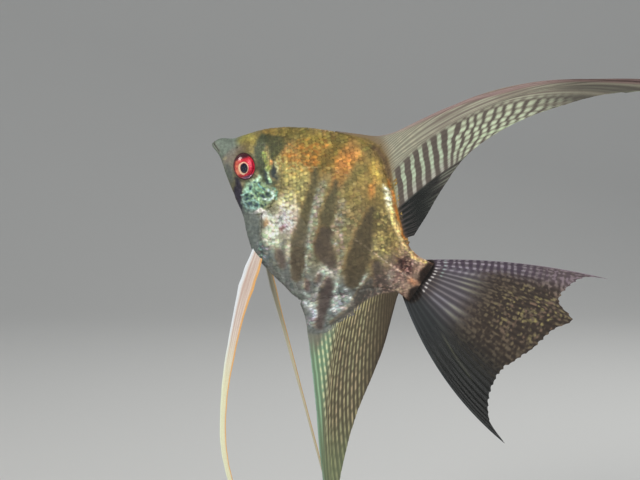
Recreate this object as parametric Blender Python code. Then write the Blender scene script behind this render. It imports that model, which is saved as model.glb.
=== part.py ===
"""A freshwater angelfish (Pterophyllum scalare) as a life-size still model on a display stand.

Run with: blender --background --python part.py

The fish is drawn in its own frame, in millimetres: X runs from the snout to the tail, Z towards the
back, and Y across, with the fish's left side at -Y. An empty then tips the fish nose up and holds it
over the stand. The world frame has +Z up and its origin under the middle of the stand's base.
"""

import math

import bmesh
import bpy
import numpy as np

MM = 0.001
GAP = 0.3  # between neighbouring solids

# Overall sizes of the fish, in millimetres.
STANDARD_LENGTH = 90.0  # snout to the root of the tail fin
TAIL_ROOT = STANDARD_LENGTH + 1.0
SNOUT = -0.8
NOSE_UP = math.radians(33.3)

# The side view of the body: (distance from the snout, height above the snout).
BACK_LINE = (
    (-0.8, 0.8), (-0.3, 2.1), (0.5, 3.3), (1.6, 4.3), (3.2, 5.2), (4.9, 6.4), (6.8, 8.8),
    (12.0, 14.8), (18.0, 19.8), (26.0, 24.6), (36.0, 29.0), (46.0, 31.2), (53.0, 29.7),
    (60.0, 24.6), (71.0, 14.4), (78.0, 9.2), (84.0, 7.3), (92.0, 8.1),
)  # fmt: skip
BELLY_LINE = (
    (-0.8, -0.2), (-0.2, -0.8), (1.0, -1.2), (3.6, -2.2), (9.6, -6.7), (17.0, -11.8),
    (23.5, -16.2), (27.0, -19.8), (33.6, -25.1), (41.0, -27.4), (50.0, -29.2), (57.0, -30.2),
    (61.5, -28.0), (71.0, -18.2), (78.0, -11.6), (84.5, -8.6), (92.0, -8.7),
)  # fmt: skip
WIDEST_LINE = ((-0.8, 0.3), (6.0, 1.4), (14.0, 1.6), (28.0, -1.0), (60.0, -1.6), (92.0, -0.2))
HALF_WIDTH = (
    (-0.8, 0.3), (0.2, 1.5), (2.0, 2.3), (5.0, 3.4), (9.0, 4.7), (14.0, 5.9), (20.0, 6.8),
    (28.0, 7.3), (36.0, 7.1), (48.0, 6.3), (60.0, 4.9), (70.0, 3.7), (80.0, 2.7), (92.0, 2.1),
)  # fmt: skip
# How lens-like the cross-section is: 1 is an ellipse, and more pulls in towards a sharp keel.
LENS_ABOVE = ((-0.8, 0.9), (14.0, 1.15), (30.0, 1.35), (60.0, 1.3), (92.0, 0.9))
LENS_BELOW = ((-0.8, 0.9), (20.0, 0.95), (36.0, 0.9), (56.0, 1.2), (92.0, 0.9))
# Half the flat width of the keel that the fins stand on.
KEEL_ABOVE = ((-0.8, 0.1), (20.0, 0.4), (40.0, 0.9), (80.0, 0.9), (92.0, 1.1))
KEEL_BELOW = ((-0.8, 0.1), (20.0, 0.5), (56.0, 0.9), (80.0, 0.9), (92.0, 1.1))

# Where the body is divided.
GILL_EDGE = (
    (16.5, 24.0), (17.5, 19.0), (22.0, 12.0), (26.8, 6.0), (29.4, 0.0), (29.6, -6.0),
    (28.2, -11.0), (25.0, -13.6), (22.2, -15.2), (21.5, -20.0),
)  # fmt: skip
STALK_START = 80.5
GILL_COVER = (
    (21.2, 9.0), (25.2, 6.8), (28.2, 0.5), (28.5, -5.6), (27.2, -10.4), (23.8, -12.9),
    (19.6, -10.8), (19.4, -4.0), (20.0, 4.0),
)  # fmt: skip
GILL_COVER_DEPTH = 3.2  # how near the middle plane the gill covers' inner faces are
MOUTH_FRONT = (-0.8, 0.9)
MOUTH_CORNER = (2.9, -0.7)
UPPER_LIP_TOP = (3.4, 7.0)
JAW_JOINT = (7.0, -2.6)
CHIN = (8.0, -5.2)

# The eyes are flattened balls that face a little forwards.
EYE_CENTRE = (13.9, 4.4, -0.4)
EYE_RADII = (4.3, 2.5, 4.65)
EYE_TURN = math.radians(9)

# Each fin is a fan of guide rays: (foot along X, foot height, tip along X, tip height, bow).
# The bow is how far the ray's middle stands off its chord, towards the fin's leading side.
DORSAL_RAYS = (
    (33.0, 24.0, 34.6, 28.9, 0.0), (38.5, 26.0, 42.5, 32.7, 0.2), (43.0, 27.0, 48.6, 36.0, 0.5),
    (47.0, 27.0, 54.4, 42.6, 1.0), (50.0, 27.0, 61.8, 54.8, 1.8), (52.5, 26.0, 72.0, 68.6, 3.8),
    (54.5, 25.0, 96.0, 91.8, 8.8), (56.0, 24.0, 140.0, 117.0, 15.2),
    (58.5, 21.5, 112.0, 96.4, 12.6), (61.0, 18.5, 96.6, 79.8, 7.5), (63.5, 15.5, 86.6, 65.4, 3.5),
    (66.0, 12.6, 79.8, 49.0, 1.2), (68.5, 10.0, 78.8, 33.6, 0.2), (71.5, 8.0, 79.4, 21.4, 0.0),
    (74.5, 6.8, 79.6, 12.6, 0.0),
)  # fmt: skip
ANAL_RAYS = (
    (57.6, -27.0, 58.6, -31.6, 0.0), (59.5, -26.5, 63.0, -35.0, 0.0),
    (61.5, -25.0, 67.8, -40.4, 0.3), (63.5, -24.0, 75.0, -49.0, 1.0),
    (65.5, -22.0, 85.8, -62.2, 2.0), (67.0, -20.5, 99.6, -79.4, 3.6),
    (68.6, -19.0, 131.0, -113.0, 7.5), (71.0, -16.5, 111.0, -86.0, 5.0),
    (73.5, -14.5, 103.0, -68.4, 3.0), (76.0, -12.0, 98.4, -53.6, 1.6),
    (78.5, -10.0, 95.8, -40.6, 0.8), (81.0, -8.0, 93.2, -28.6, 0.2),
    (83.5, -6.5, 89.6, -17.6, 0.0), (86.0, -5.5, 87.0, -10.0, 0.0),
)  # fmt: skip
TAIL_RAYS = (
    (86.0, 6.0, 148.5, 38.8, 2.4), (86.5, 5.6, 141.0, 34.6, 2.1), (87.0, 4.8, 137.6, 28.0, 1.7),
    (87.0, 3.8, 138.0, 21.4, 1.4), (87.0, 2.8, 145.6, 18.8, 1.0), (87.0, 1.6, 142.0, 12.0, 0.6),
    (87.0, 0.4, 140.2, 4.2, 0.2), (87.0, -0.8, 137.8, -3.0, -0.2),
    (87.0, -2.0, 135.0, -10.0, -0.8), (87.0, -3.2, 134.8, -16.6, -1.4),
    (87.0, -4.6, 137.4, -24.0, -2.2), (86.5, -5.6, 142.4, -30.2, -3.4),
    (86.0, -6.6, 152.0, -34.2, -5.0),
)  # fmt: skip
FIN_ROOT_HALF = 1.15  # half the thickness where a fin meets the body
FIN_EDGE_HALF = 0.27  # half the thickness at its outer edge
SHEATH = 9.0  # the scaly skin thickens a fin this far out from its foot
DORSAL_SWAY = -5.0  # how far the filaments' tips lean sideways
ANAL_SWAY = -3.0
TAIL_SWAY = (-2.5, 6.0)  # upper and lower corner

# Pelvic fins: the centre line from root to tip, then (share of the way, half-width of the blade).
LEFT_PELVIC = (
    (34.8, -2.4, -23.0), (38.9, -3.8, -38.5), (45.4, -5.6, -56.5), (54.4, -7.4, -76.0),
    (64.6, -8.4, -91.4), (76.6, -8.6, -102.6), (92.0, -8.0, -112.0),
)  # fmt: skip
RIGHT_PELVIC = (
    (36.4, 2.4, -22.0), (46.0, 4.6, -31.4), (62.4, 8.0, -46.4), (81.0, 11.0, -63.2),
    (100.0, 13.0, -80.4), (119.0, 14.0, -97.4),
)  # fmt: skip
PELVIC_BLADE = ((0.0, 1.5), (0.11, 2.8), (0.22, 2.2), (0.45, 1.35), (0.75, 0.95), (1.0, 0.3))
PELVIC_HALF = 0.3
PELVIC_TURN = {"pelvic_fin_left": 0.0, "pelvic_fin_right": math.radians(64)}  # about its length

PECTORAL_ROOT = (30.4, 6.5, -6.4)
PECTORAL_LENGTH = 21.0
PECTORAL_SPREAD = math.radians(26)
PECTORAL_DROOP = math.radians(14)
PECTORAL_HALF_WIDTH = (
    (0.0, 1.5), (0.15, 2.6), (0.35, 4.2), (0.55, 5.2), (0.72, 5.2), (0.86, 4.4), (0.95, 3.3),
    (1.0, 2.0),
)  # fmt: skip
PECTORAL_BEND = 1.6  # how far the tip curls back towards the flank
PECTORAL_CUP = 0.45  # how far the blade's middle stands out from its edges
PECTORAL_HALF = 0.3
PECTORAL_ROOM = 0.6  # beyond GAP, from the flank to the middle of the fin's foot

# The display stand. The rod stands on the base's axis and enters the fish's right flank from below.
BASE_RADIUS = 50.0
BASE_HEIGHT = 10.0
BASE_EDGE = 1.6
COLLAR_RADIUS = 4.5
COLLAR_HEIGHT = 5.0
ROD_RADIUS = 1.25
ROD_TOP = (58.0, -8.7)  # its upper end, in the fish's side view
ROD_SIDE = 2.8  # how far to the fish's right of its middle plane
FIN_TIP_ROOM = 6.0  # between the base and the lowest fin tip

RINGS, AROUND = 38, 26
RAYS_PER_GUIDE = 2
FLESH = (0.42, 0.38, 0.24)
FINS = (0.36, 0.33, 0.27)


def smooth(points):
    """A cubic curve through (x, y) points, as a function of x."""
    xs, ys = np.array(points, float).T
    slopes = np.gradient(ys, xs)

    def at(x):
        x = np.clip(x, xs[0], xs[-1])
        i = np.clip(np.searchsorted(xs, x) - 1, 0, len(xs) - 2)
        step = xs[i + 1] - xs[i]
        t = (x - xs[i]) / step
        return (
            ys[i] * (1 + 2 * t) * (1 - t) ** 2
            + slopes[i] * step * t * (1 - t) ** 2
            + ys[i + 1] * t * t * (3 - 2 * t)
            + slopes[i + 1] * step * t * t * (t - 1)
        )

    return at


def smooth_path(points):
    """A cubic curve through points in space, as a function of the share of the way along it."""
    points = np.array(points, float)
    along = np.concatenate([[0], np.cumsum(np.linalg.norm(np.diff(points, axis=0), axis=1))])
    axes = [smooth(list(zip(along / along[-1], column))) for column in points.T]
    return lambda t: np.stack([axis(np.asarray(t, float)) for axis in axes], axis=-1)


back, belly, widest = smooth(BACK_LINE), smooth(BELLY_LINE), smooth(WIDEST_LINE)
half_width = smooth(HALF_WIDTH)
lens_above, lens_below = smooth(LENS_ABOVE), smooth(LENS_BELOW)
keel_above, keel_below = smooth(KEEL_ABOVE), smooth(KEEL_BELOW)


def section(x, turn, grow=0.0):
    """A point of the body's skin: x along the body, turn round it from the back, down its left."""
    up, side = math.cos(turn), math.sin(turn)
    above = up >= 0
    edge = back(x) + grow if above else belly(x) - grow
    lens = lens_above(x) if above else lens_below(x)
    keel = keel_above(x) if above else keel_below(x)
    height = widest(x) + (edge - widest(x)) * abs(up)
    width = keel + (half_width(x) + grow - keel) * abs(side) ** lens
    return (x, -math.copysign(width, side), height)


def flank(x, z):
    """How far the skin is from the middle plane at a point of the side view."""
    if z >= widest(x):
        edge, lens, keel = back(x), lens_above(x), keel_above(x)
    else:
        edge, lens, keel = belly(x), lens_below(x), keel_below(x)
    up = min(abs((z - widest(x)) / (edge - widest(x))), 1.0)
    return keel + (half_width(x) - keel) * math.sqrt(1 - up * up) ** lens


def new_object(name, mesh, parent=None, colour=None, roughness=0.4, metallic=0.0):
    obj = bpy.data.objects.new(name, mesh)
    bpy.context.scene.collection.objects.link(obj)
    obj.parent = parent
    if colour is not None:
        material = bpy.data.materials.new(name)
        material.use_nodes = True
        shader = material.node_tree.nodes["Principled BSDF"]
        shader.inputs["Base Color"].default_value = (*colour, 1)
        shader.inputs["Roughness"].default_value = roughness
        shader.inputs["Metallic"].default_value = metallic
        mesh.materials.append(material)
    return obj


def closed_mesh(name, points, faces):
    """A mesh from points in millimetres, with its faces pointing out."""
    mesh = bpy.data.meshes.new(name)
    mesh.from_pydata([tuple(np.array(p) * MM) for p in points], [], faces)
    work = bmesh.new()
    work.from_mesh(mesh)
    bmesh.ops.remove_doubles(work, verts=work.verts, dist=1e-7)
    bmesh.ops.recalc_face_normals(work, faces=work.faces)
    work.to_mesh(mesh)
    work.free()
    mesh.shade_smooth()
    return mesh


def tube_faces(rings, around, ladder=False):
    """The faces of a closed loft of rings. A ladder cap joins each ring's two facing sides."""
    last = (rings - 1) * around
    if ladder:
        rungs = [(k, k + 1, around - 2 - k, around - 1 - k) for k in range(around // 2 - 1)]
    else:
        rungs = [tuple(range(around))]
    faces = rungs + [tuple(last + k for k in rung) for rung in rungs]
    for i in range(rings - 1):
        for k in range(around):
            a, b = i * around + k, i * around + (k + 1) % around
            faces.append((a, b, b + around, a + around))
    return faces


def body_mesh(name, grow=0.0):
    """The whole body from the snout to the tail's root, larger on every side by grow."""
    share = np.linspace(0, 1, RINGS) ** 1.3
    stations = SNOUT + (TAIL_ROOT - SNOUT) * share
    points = []
    for number, x in enumerate(stations):
        for k in range(AROUND):
            px, py, pz = section(x, 2 * math.pi * (k + 0.5) / AROUND, grow)
            shift = {0: -grow, RINGS - 1: grow}.get(number, 0.0)
            points.append((px + shift, py, pz))
    return closed_mesh(name, points, tube_faces(RINGS, AROUND, ladder=True))


def helper(obj):
    obj.hide_render = True
    obj.display_type = "WIRE"
    return obj


def prism(name, parent, outline, low=-20.0, high=20.0):
    """A cutter: an outline in the side view, drawn through the fish from Y low to Y high."""
    n = len(outline)
    points = [(x, y, z) for y in (low, high) for x, z in outline]
    return helper(new_object(name, closed_mesh(name, points, tube_faces(2, n)), parent))


def boolean(obj, cutter, operation):
    modifier = obj.modifiers.new(cutter.name, "BOOLEAN")
    modifier.operation = operation
    modifier.solver = "EXACT"
    modifier.object = cutter


def shifted(outline, dx):
    return [(x + dx, z) for x, z in outline]


def rounded(outline, steps=3):
    """A closed outline through the given corners, as a smooth loop."""
    corners = np.array(outline, float)
    n = len(corners)
    loop = []
    for i in range(n):
        p0, p1, p2, p3 = (corners[(i + k) % n] for k in (-1, 0, 1, 2))
        for t in np.arange(steps) / steps:
            loop.append(
                0.5 * (2 * p1 + (p2 - p0) * t + (2 * p0 - 5 * p1 + 4 * p2 - p3) * t * t
                       + (3 * p1 - p0 - 3 * p2 + p3) * t ** 3)
            )  # fmt: skip
    return [tuple(p) for p in loop]


def grown(outline, by):
    """A closed outline moved outwards, away from its middle."""
    points = np.array(outline)
    middle = points.mean(axis=0)
    away = points - middle
    return [tuple(p) for p in points + by * away / np.linalg.norm(away, axis=1)[:, None]]


def gill_line():
    """The division of head and trunk, from above the nape to under the throat."""
    path = smooth_path([(x, 0, z) for x, z in GILL_EDGE])
    line = [(p[0], p[2]) for p in path(np.linspace(0, 1, 19))]
    return [(line[0][0], 60.0)] + line + [(line[-1][0], -60.0)]


def flesh_part(name, parent, body, outline, roughness=0.35):
    """A named stretch of the body: what lies inside an outline in the side view."""
    part = new_object(name, body.copy(), parent, FLESH, roughness)
    boolean(part, prism(f"cut_{name}", parent, outline), "INTERSECT")
    return part


def eye_mesh(name, side, grow=0.0):
    """A flattened ball for one eye, turned to face a little forwards."""
    work = bmesh.new()
    bmesh.ops.create_uvsphere(work, u_segments=18, v_segments=10, radius=1.0)
    turn = side * EYE_TURN
    for vert in work.verts:
        x, y, z = (c * (r + grow) for c, r in zip((vert.co.x, vert.co.z, vert.co.y), EYE_RADII))
        vert.co.x = (EYE_CENTRE[0] + x * math.cos(turn) + y * math.sin(turn)) * MM
        vert.co.y = (side * EYE_CENTRE[1] - x * math.sin(turn) + y * math.cos(turn)) * MM
        vert.co.z = (EYE_CENTRE[2] + z) * MM
    work.normal_update()
    bmesh.ops.recalc_face_normals(work, faces=work.faces)
    mesh = bpy.data.meshes.new(name)
    work.to_mesh(mesh)
    work.free()
    mesh.shade_smooth()
    return mesh


def add_head(parent, body):
    """The head with its jaws, gill covers and eyes."""
    corner_x, corner_z = MOUTH_CORNER
    slope = (MOUTH_FRONT[1] - corner_z) / (MOUTH_FRONT[0] - corner_x)
    ahead = (-9.0, corner_z + slope * (-9.0 - corner_x))
    lip = [ahead, MOUTH_CORNER, UPPER_LIP_TOP, (UPPER_LIP_TOP[0], 20.0), (-9.0, 20.0)]
    jaw = [(ahead[0], ahead[1] - GAP), (corner_x, corner_z - GAP), JAW_JOINT, CHIN,
           (CHIN[0], -20.0), (-9.0, -20.0)]  # fmt: skip
    joint = (JAW_JOINT[0], JAW_JOINT[1] + GAP)
    snout = [(-9.0, 20.0), (-9.0, -20.0), (CHIN[0], -20.0), CHIN, joint,
             (corner_x + GAP, corner_z),
             (UPPER_LIP_TOP[0] + GAP, UPPER_LIP_TOP[1]), (UPPER_LIP_TOP[0] + GAP, 20.0)]  # fmt: skip
    front = [(-10.0, -60.0), (-10.0, 60.0)]
    head = flesh_part("head", parent, body, front + shifted(gill_line(), -GAP))
    boolean(head, prism("cut_snout", parent, snout), "DIFFERENCE")
    flesh_part("upper_jaw", parent, body, lip)
    flesh_part("lower_jaw", parent, body, shifted(jaw, -GAP))
    cover_outline = rounded(GILL_COVER)
    for side, name in ((-1, "left"), (1, "right")):
        reach = sorted((side * GILL_COVER_DEPTH, side * 20.0))
        cover = new_object(f"gill_cover_{name}", body.copy(), parent, FLESH)
        inner = prism(f"cut_cover_{name}", parent, cover_outline, *reach)
        boolean(cover, inner, "INTERSECT")
        reach = sorted((side * (GILL_COVER_DEPTH - GAP), side * 21.0))
        pocket = prism(f"cut_pocket_{name}", parent, grown(cover_outline, GAP), *reach)
        boolean(head, pocket, "DIFFERENCE")
        socket = helper(new_object(f"cut_eye_{name}", eye_mesh(f"socket_{name}", side, GAP), parent))
        boolean(head, socket, "DIFFERENCE")
        new_object(f"eye_{name}", eye_mesh(f"eye_{name}", side), parent, (0.75, 0.08, 0.07), 0.08)


def add_trunk(parent, body, rod_hole):
    line = gill_line()
    stalk = [(STALK_START + 2.0, -60.0), (STALK_START + 1.4, -8.0), (STALK_START, 0.0),
             (STALK_START + 1.4, 8.0), (STALK_START + 2.0, 60.0)]  # fmt: skip
    trunk = flesh_part("trunk", parent, body, line + shifted(stalk, -GAP))
    boolean(trunk, rod_hole, "DIFFERENCE")
    flesh_part("tail_stalk", parent, body, stalk + [(200.0, 60.0), (200.0, -60.0)])


def fin_rays(guides, per_guide, along):
    """Points of a fin's middle surface: (rays, steps, 2), each ray a curve from foot to tip."""
    guides = np.array(guides, float)
    numbers = np.arange(len(guides))
    fine = np.linspace(0, len(guides) - 1, per_guide * (len(guides) - 1) + 1)
    foot_x, foot_z, tip_x, tip_z, bow = (
        smooth(list(zip(numbers, guides[:, k])))(fine) for k in range(5)
    )
    foot, tip = np.stack([foot_x, foot_z], 1), np.stack([tip_x, tip_z], 1)
    chord = tip - foot
    length = np.linalg.norm(chord, axis=1, keepdims=True)
    aside = np.stack([-chord[:, 1], chord[:, 0]], 1) / length
    lead = 1.0 if guides[len(guides) // 2, 3] >= guides[len(guides) // 2, 1] else -1.0
    middle = (foot + tip) / 2 + 2 * lead * bow[:, None] * aside
    t = np.linspace(0, 1, along)[None, :, None]
    return (1 - t) ** 2 * foot[:, None] + 2 * t * (1 - t) * middle[:, None] + t * t * tip[:, None]


def fin_half_thickness(distance, length):
    """Half a fin's thickness at a distance out from its foot."""
    flesh = np.clip(1 - distance / SHEATH, 0, 1) ** 1.5
    taper = np.clip(distance / np.maximum(length, 1e-6), 0, 1)
    thin = 0.55 + (FIN_EDGE_HALF - 0.55) * taper
    return thin + (FIN_ROOT_HALF - thin) * flesh


def fin_mesh(name, rays, sway):
    """A solid fin from its rays. sway gives each point's sideways shift."""
    n, steps = rays.shape[:2]
    gone = np.linalg.norm(np.diff(rays, axis=1), axis=2)
    distance = np.concatenate([np.zeros((n, 1)), np.cumsum(gone, axis=1)], axis=1)
    half = fin_half_thickness(distance, distance[:, -1:])
    aside = sway(rays)
    points, faces = [], []
    for sign in (-1, 1):
        for i in range(n):
            for j in range(steps):
                y = aside[i, j] + sign * half[i, j]
                points.append((rays[i, j, 0], y, rays[i, j, 1]))
    layer = n * steps
    for i in range(n - 1):
        for j in range(steps - 1):
            a, b = i * steps + j, (i + 1) * steps + j
            faces.append((a, b, b + 1, a + 1))
            faces.append(tuple(layer + k for k in (a, a + 1, b + 1, b)))
    rim = [j for j in range(steps)] + [i * steps + steps - 1 for i in range(1, n)]
    rim += [(n - 1) * steps + j for j in range(steps - 2, -1, -1)]
    rim += [i * steps for i in range(n - 2, 0, -1)]
    for a, b in zip(rim, rim[1:] + rim[:1]):
        faces.append((a, layer + a, layer + b, b))
    return closed_mesh(name, points, faces)


def tip_sway(amount, start, reach):
    """Sideways lean that grows with the distance from a start point."""
    start = np.array(start)

    def at(rays):
        return amount * (np.linalg.norm(rays - start, axis=2) / reach) ** 2

    return at


def tail_sway(rays):
    upper, lower = TAIL_SWAY
    out = np.clip((rays[..., 0] - TAIL_ROOT) / 60.0, 0, None) ** 1.6
    height = np.clip(rays[..., 1] / 36.0, -1, 1)
    share = 0.5 + 0.5 * height
    return out * (upper * share + lower * (1 - share) * (0.4 + 0.6 * np.abs(height)))


def add_fins(parent, clearance):
    """The three middle fins, cut back from the body all round by a thin gap."""
    dorsal = fin_rays(DORSAL_RAYS, RAYS_PER_GUIDE, 9)
    anal = fin_rays(ANAL_RAYS, RAYS_PER_GUIDE, 9)
    tail = fin_rays(TAIL_RAYS, RAYS_PER_GUIDE, 8)
    fins = (
        ("dorsal_fin", dorsal, tip_sway(DORSAL_SWAY, (54.0, 26.0), 125.0)),
        ("anal_fin", anal, tip_sway(ANAL_SWAY, (66.0, -22.0), 112.0)),
        ("tail_fin", tail, tail_sway),
    )
    for name, rays, sway in fins:
        fin = new_object(name, fin_mesh(name, rays, sway), parent, FINS, 0.4)
        boolean(fin, clearance, "DIFFERENCE")


def pelvic_mesh(name, path_points, turn, steps=22):
    """A long narrow blade along a path: flat to the side view, then turned about its length."""
    path = smooth_path(path_points)
    blade = smooth(PELVIC_BLADE)
    points = []
    for t in np.linspace(0, 1, steps):
        centre = path(t)
        run = path(min(t + 0.01, 1.0)) - path(max(t - 0.01, 0.0))
        across = np.array([-run[2], 0.0, run[0]]) / math.hypot(run[0], run[2])
        through = np.cross(run / np.linalg.norm(run), across)
        across, through = (
            across * math.cos(turn) + through * math.sin(turn),
            through * math.cos(turn) - across * math.sin(turn),
        )
        for u, v in ((-1, 0), (-0.5, 1), (0.5, 1), (1, 0), (0.5, -1), (-0.5, -1)):
            points.append(centre + u * blade(t) * across + v * PELVIC_HALF * through)
    return closed_mesh(name, points, tube_faces(steps, 6, ladder=True))


def pectoral_mesh(name, side, steps=13, across=8):
    """A thin paddle behind the gill cover, swung out from the flank."""
    wide = smooth(PECTORAL_HALF_WIDTH)
    out = np.array([math.cos(PECTORAL_SPREAD), side * math.sin(PECTORAL_SPREAD), 0.0])
    down = np.array([0.0, 0.0, 1.0])
    along = out * math.cos(PECTORAL_DROOP) - down * math.sin(PECTORAL_DROOP)
    over = out * math.sin(PECTORAL_DROOP) + down * math.cos(PECTORAL_DROOP)
    normal = np.cross(along, over)
    root = np.array([PECTORAL_ROOT[0], side * PECTORAL_ROOT[1], PECTORAL_ROOT[2]])
    points = []
    for t in np.linspace(0, 1, steps):
        ring = [(u, 1) for u in np.linspace(-1, 1, across)]
        ring += [(u, -1) for u in np.linspace(1, -1, across)]
        for u, v in ring:
            reach = PECTORAL_LENGTH * t * (1 - 0.16 * u * u * t)
            half = PECTORAL_HALF * (1.6 - 0.6 * t) * (1 - 0.15 * abs(u))
            bend = PECTORAL_BEND * t * t + PECTORAL_CUP * (u * u - 1) * t
            middle = root + along * reach + over * u * wide(t) - np.array([0.0, side * bend, 0.0])
            clear = flank(middle[0], middle[2]) + GAP + PECTORAL_ROOM
            middle[1] = side * max(side * middle[1], clear)
            points.append(middle + normal * (v * half))
    return closed_mesh(name, points, tube_faces(steps, 2 * across, ladder=True))


def add_paired_fins(parent, clearance):
    blades = (("pelvic_fin_left", LEFT_PELVIC), ("pelvic_fin_right", RIGHT_PELVIC))
    for name, path in blades:
        fin = new_object(name, pelvic_mesh(name, path, PELVIC_TURN[name]), parent, (0.8, 0.72, 0.66), 0.3)
        boolean(fin, clearance, "DIFFERENCE")
    for side, name in ((-1, "pectoral_fin_left"), (1, "pectoral_fin_right")):
        new_object(name, pectoral_mesh(name, side), parent, (0.7, 0.7, 0.66), 0.2)


def posed(x, z):
    """A point of the side view once the fish is tipped nose up, before it is lifted."""
    c, s = math.cos(NOSE_UP), math.sin(NOSE_UP)
    return x * c + z * s, z * c - x * s


def turned(name, profile, around=48):
    """A solid of revolution about Z from (radius, height) points, in millimetres."""
    points = [
        (r * math.cos(2 * math.pi * k / around), r * math.sin(2 * math.pi * k / around), z)
        for r, z in profile
        for k in range(around)
    ]
    return closed_mesh(name, points, tube_faces(len(profile), around))


def add_stand(rod_top):
    """A round base with a rod on its axis, and a collar where the rod stands in the base."""
    edge, low, high = BASE_RADIUS, 0.0, BASE_HEIGHT
    bore = ROD_RADIUS + GAP
    base = turned("stand_base", [(edge - 0.6, low), (edge, low + 0.6), (edge, high - BASE_EDGE),
                                 (edge - 0.5 * BASE_EDGE, high - 0.3 * BASE_EDGE),
                                 (edge - BASE_EDGE, high)])  # fmt: skip
    base_obj = new_object("stand_base", base, None, (0.05, 0.03, 0.02), 0.35)
    sink = turned("cut_rod_foot", [(bore, 4.0), (bore, high + 5.0)], 24)
    sink_obj = helper(new_object("cut_rod_foot", sink))
    boolean(base_obj, sink_obj, "DIFFERENCE")
    foot = high + GAP
    collar = turned("stand_collar", [(COLLAR_RADIUS, foot), (COLLAR_RADIUS, foot + 1.6),
                                     (ROD_RADIUS + 1.6, foot + COLLAR_HEIGHT)], 32)  # fmt: skip
    collar_obj = new_object("stand_collar", collar, None, (0.6, 0.6, 0.6), 0.25, 1.0)
    through = turned("cut_collar", [(bore, high - 2.0), (bore, high + 12.0)], 24)
    boolean(collar_obj, helper(new_object("cut_collar", through)), "DIFFERENCE")
    rod = turned("stand_rod", [(ROD_RADIUS, 4.0 + GAP), (ROD_RADIUS, rod_top)], 24)
    new_object("stand_rod", rod, None, (0.6, 0.6, 0.6), 0.25, 1.0)


def main():
    for obj in list(bpy.data.objects):
        bpy.data.objects.remove(obj)

    rod_x, rod_z = posed(*ROD_TOP)
    tips = [posed(x, z)[1] for x, z in ((r[2], r[3]) for r in ANAL_RAYS)]
    tips += [posed(p[0], p[2])[1] for p in LEFT_PELVIC + RIGHT_PELVIC]
    lift = BASE_HEIGHT + FIN_TIP_ROOM - min(tips)
    rod_top = rod_z + lift
    pose = bpy.data.objects.new("fish_pose", None)
    bpy.context.scene.collection.objects.link(pose)
    pose.rotation_euler = (0.0, NOSE_UP, 0.0)
    pose.location = (-rod_x * MM, -ROD_SIDE * MM, lift * MM)

    hole = turned("cut_rod_hole", [(ROD_RADIUS + GAP, rod_top - 40.0),
                                   (ROD_RADIUS + GAP, rod_top + GAP)], 24)  # fmt: skip
    rod_hole = helper(new_object("cut_rod_hole", hole))
    body = body_mesh("body")
    clearance = helper(new_object("cut_clearance", body_mesh("clearance", GAP), pose))
    add_head(pose, body)
    add_trunk(pose, body, rod_hole)
    add_fins(pose, clearance)
    add_paired_fins(pose, clearance)
    add_stand(rod_top)


main()
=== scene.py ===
"""The looks of a freshwater angelfish model on a display stand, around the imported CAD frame.

Lengths are in millimetres in the fish's own frame: s from the snout to the tail, y across with the
fish's left side at -y, and h towards the back. to_world turns them into the frame's metres.
Colours are given as they look on a screen, and Paint turns them into the renderer's.
"""

import math
import types

import bpy
import numpy as np
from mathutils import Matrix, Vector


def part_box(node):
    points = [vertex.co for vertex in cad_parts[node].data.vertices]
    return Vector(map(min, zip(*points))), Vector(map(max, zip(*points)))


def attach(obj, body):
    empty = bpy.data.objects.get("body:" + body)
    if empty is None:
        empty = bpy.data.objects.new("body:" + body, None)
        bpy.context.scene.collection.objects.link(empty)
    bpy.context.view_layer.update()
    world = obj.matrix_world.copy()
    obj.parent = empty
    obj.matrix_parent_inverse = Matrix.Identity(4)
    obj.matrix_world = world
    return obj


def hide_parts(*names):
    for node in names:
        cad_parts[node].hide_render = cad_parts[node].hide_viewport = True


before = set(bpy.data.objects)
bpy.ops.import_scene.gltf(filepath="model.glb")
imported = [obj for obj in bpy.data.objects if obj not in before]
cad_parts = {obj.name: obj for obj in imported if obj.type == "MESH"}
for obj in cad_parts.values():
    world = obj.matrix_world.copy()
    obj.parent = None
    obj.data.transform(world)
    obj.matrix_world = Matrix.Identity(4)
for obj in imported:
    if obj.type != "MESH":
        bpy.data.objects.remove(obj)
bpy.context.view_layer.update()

MM = 0.001
COAT = 0.18  # the scales' depth: how far the skin lies inside the CAD flesh
NOSE_UP = math.radians(33.3)
SNOUT, TAIL_ROOT = -0.8, 91.4
ROD_TOP = (58, -8.7)

BACK_LINE = (
    (-0.8, 0.8), (-0.3, 2.1), (0.5, 3.3), (1.6, 4.3), (3.2, 5.2), (4.9, 6.4), (6.8, 8.8),
    (12, 14.8), (18, 19.8), (26, 24.6), (36, 29), (46, 31.2), (53, 29.7),
    (60, 24.6), (71, 14.4), (78, 9.2), (84, 7.3), (92, 8.1),
)  # fmt: skip
BELLY_LINE = (
    (-0.8, -0.2), (-0.2, -0.8), (1, -1.2), (3.6, -2.2), (9.6, -6.7), (17, -11.8),
    (23.5, -16.2), (27, -19.8), (33.6, -25.1), (41, -27.4), (50, -29.2), (57, -30.2),
    (61.5, -28), (71, -18.2), (78, -11.6), (84.5, -8.6), (92, -8.7),
)  # fmt: skip
WIDEST_LINE = ((-0.8, 0.3), (6, 1.4), (14, 1.6), (28, -1), (60, -1.6), (92, -0.2))
HALF_WIDTH = (
    (-0.8, 0.3), (0.2, 1.5), (2, 2.3), (5, 3.4), (9, 4.7), (14, 5.9), (20, 6.8),
    (28, 7.3), (36, 7.1), (48, 6.3), (60, 4.9), (70, 3.7), (80, 2.7), (92, 2.1),
)  # fmt: skip
LENS_ABOVE = ((-0.8, 0.9), (14, 1.15), (30, 1.35), (60, 1.3), (92, 0.9))
LENS_BELOW = ((-0.8, 0.9), (20, 0.95), (36, 0.9), (56, 1.2), (92, 0.9))
KEEL_ABOVE = ((-0.8, 0.1), (20, 0.4), (40, 0.9), (80, 0.9), (92, 1.1))
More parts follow.
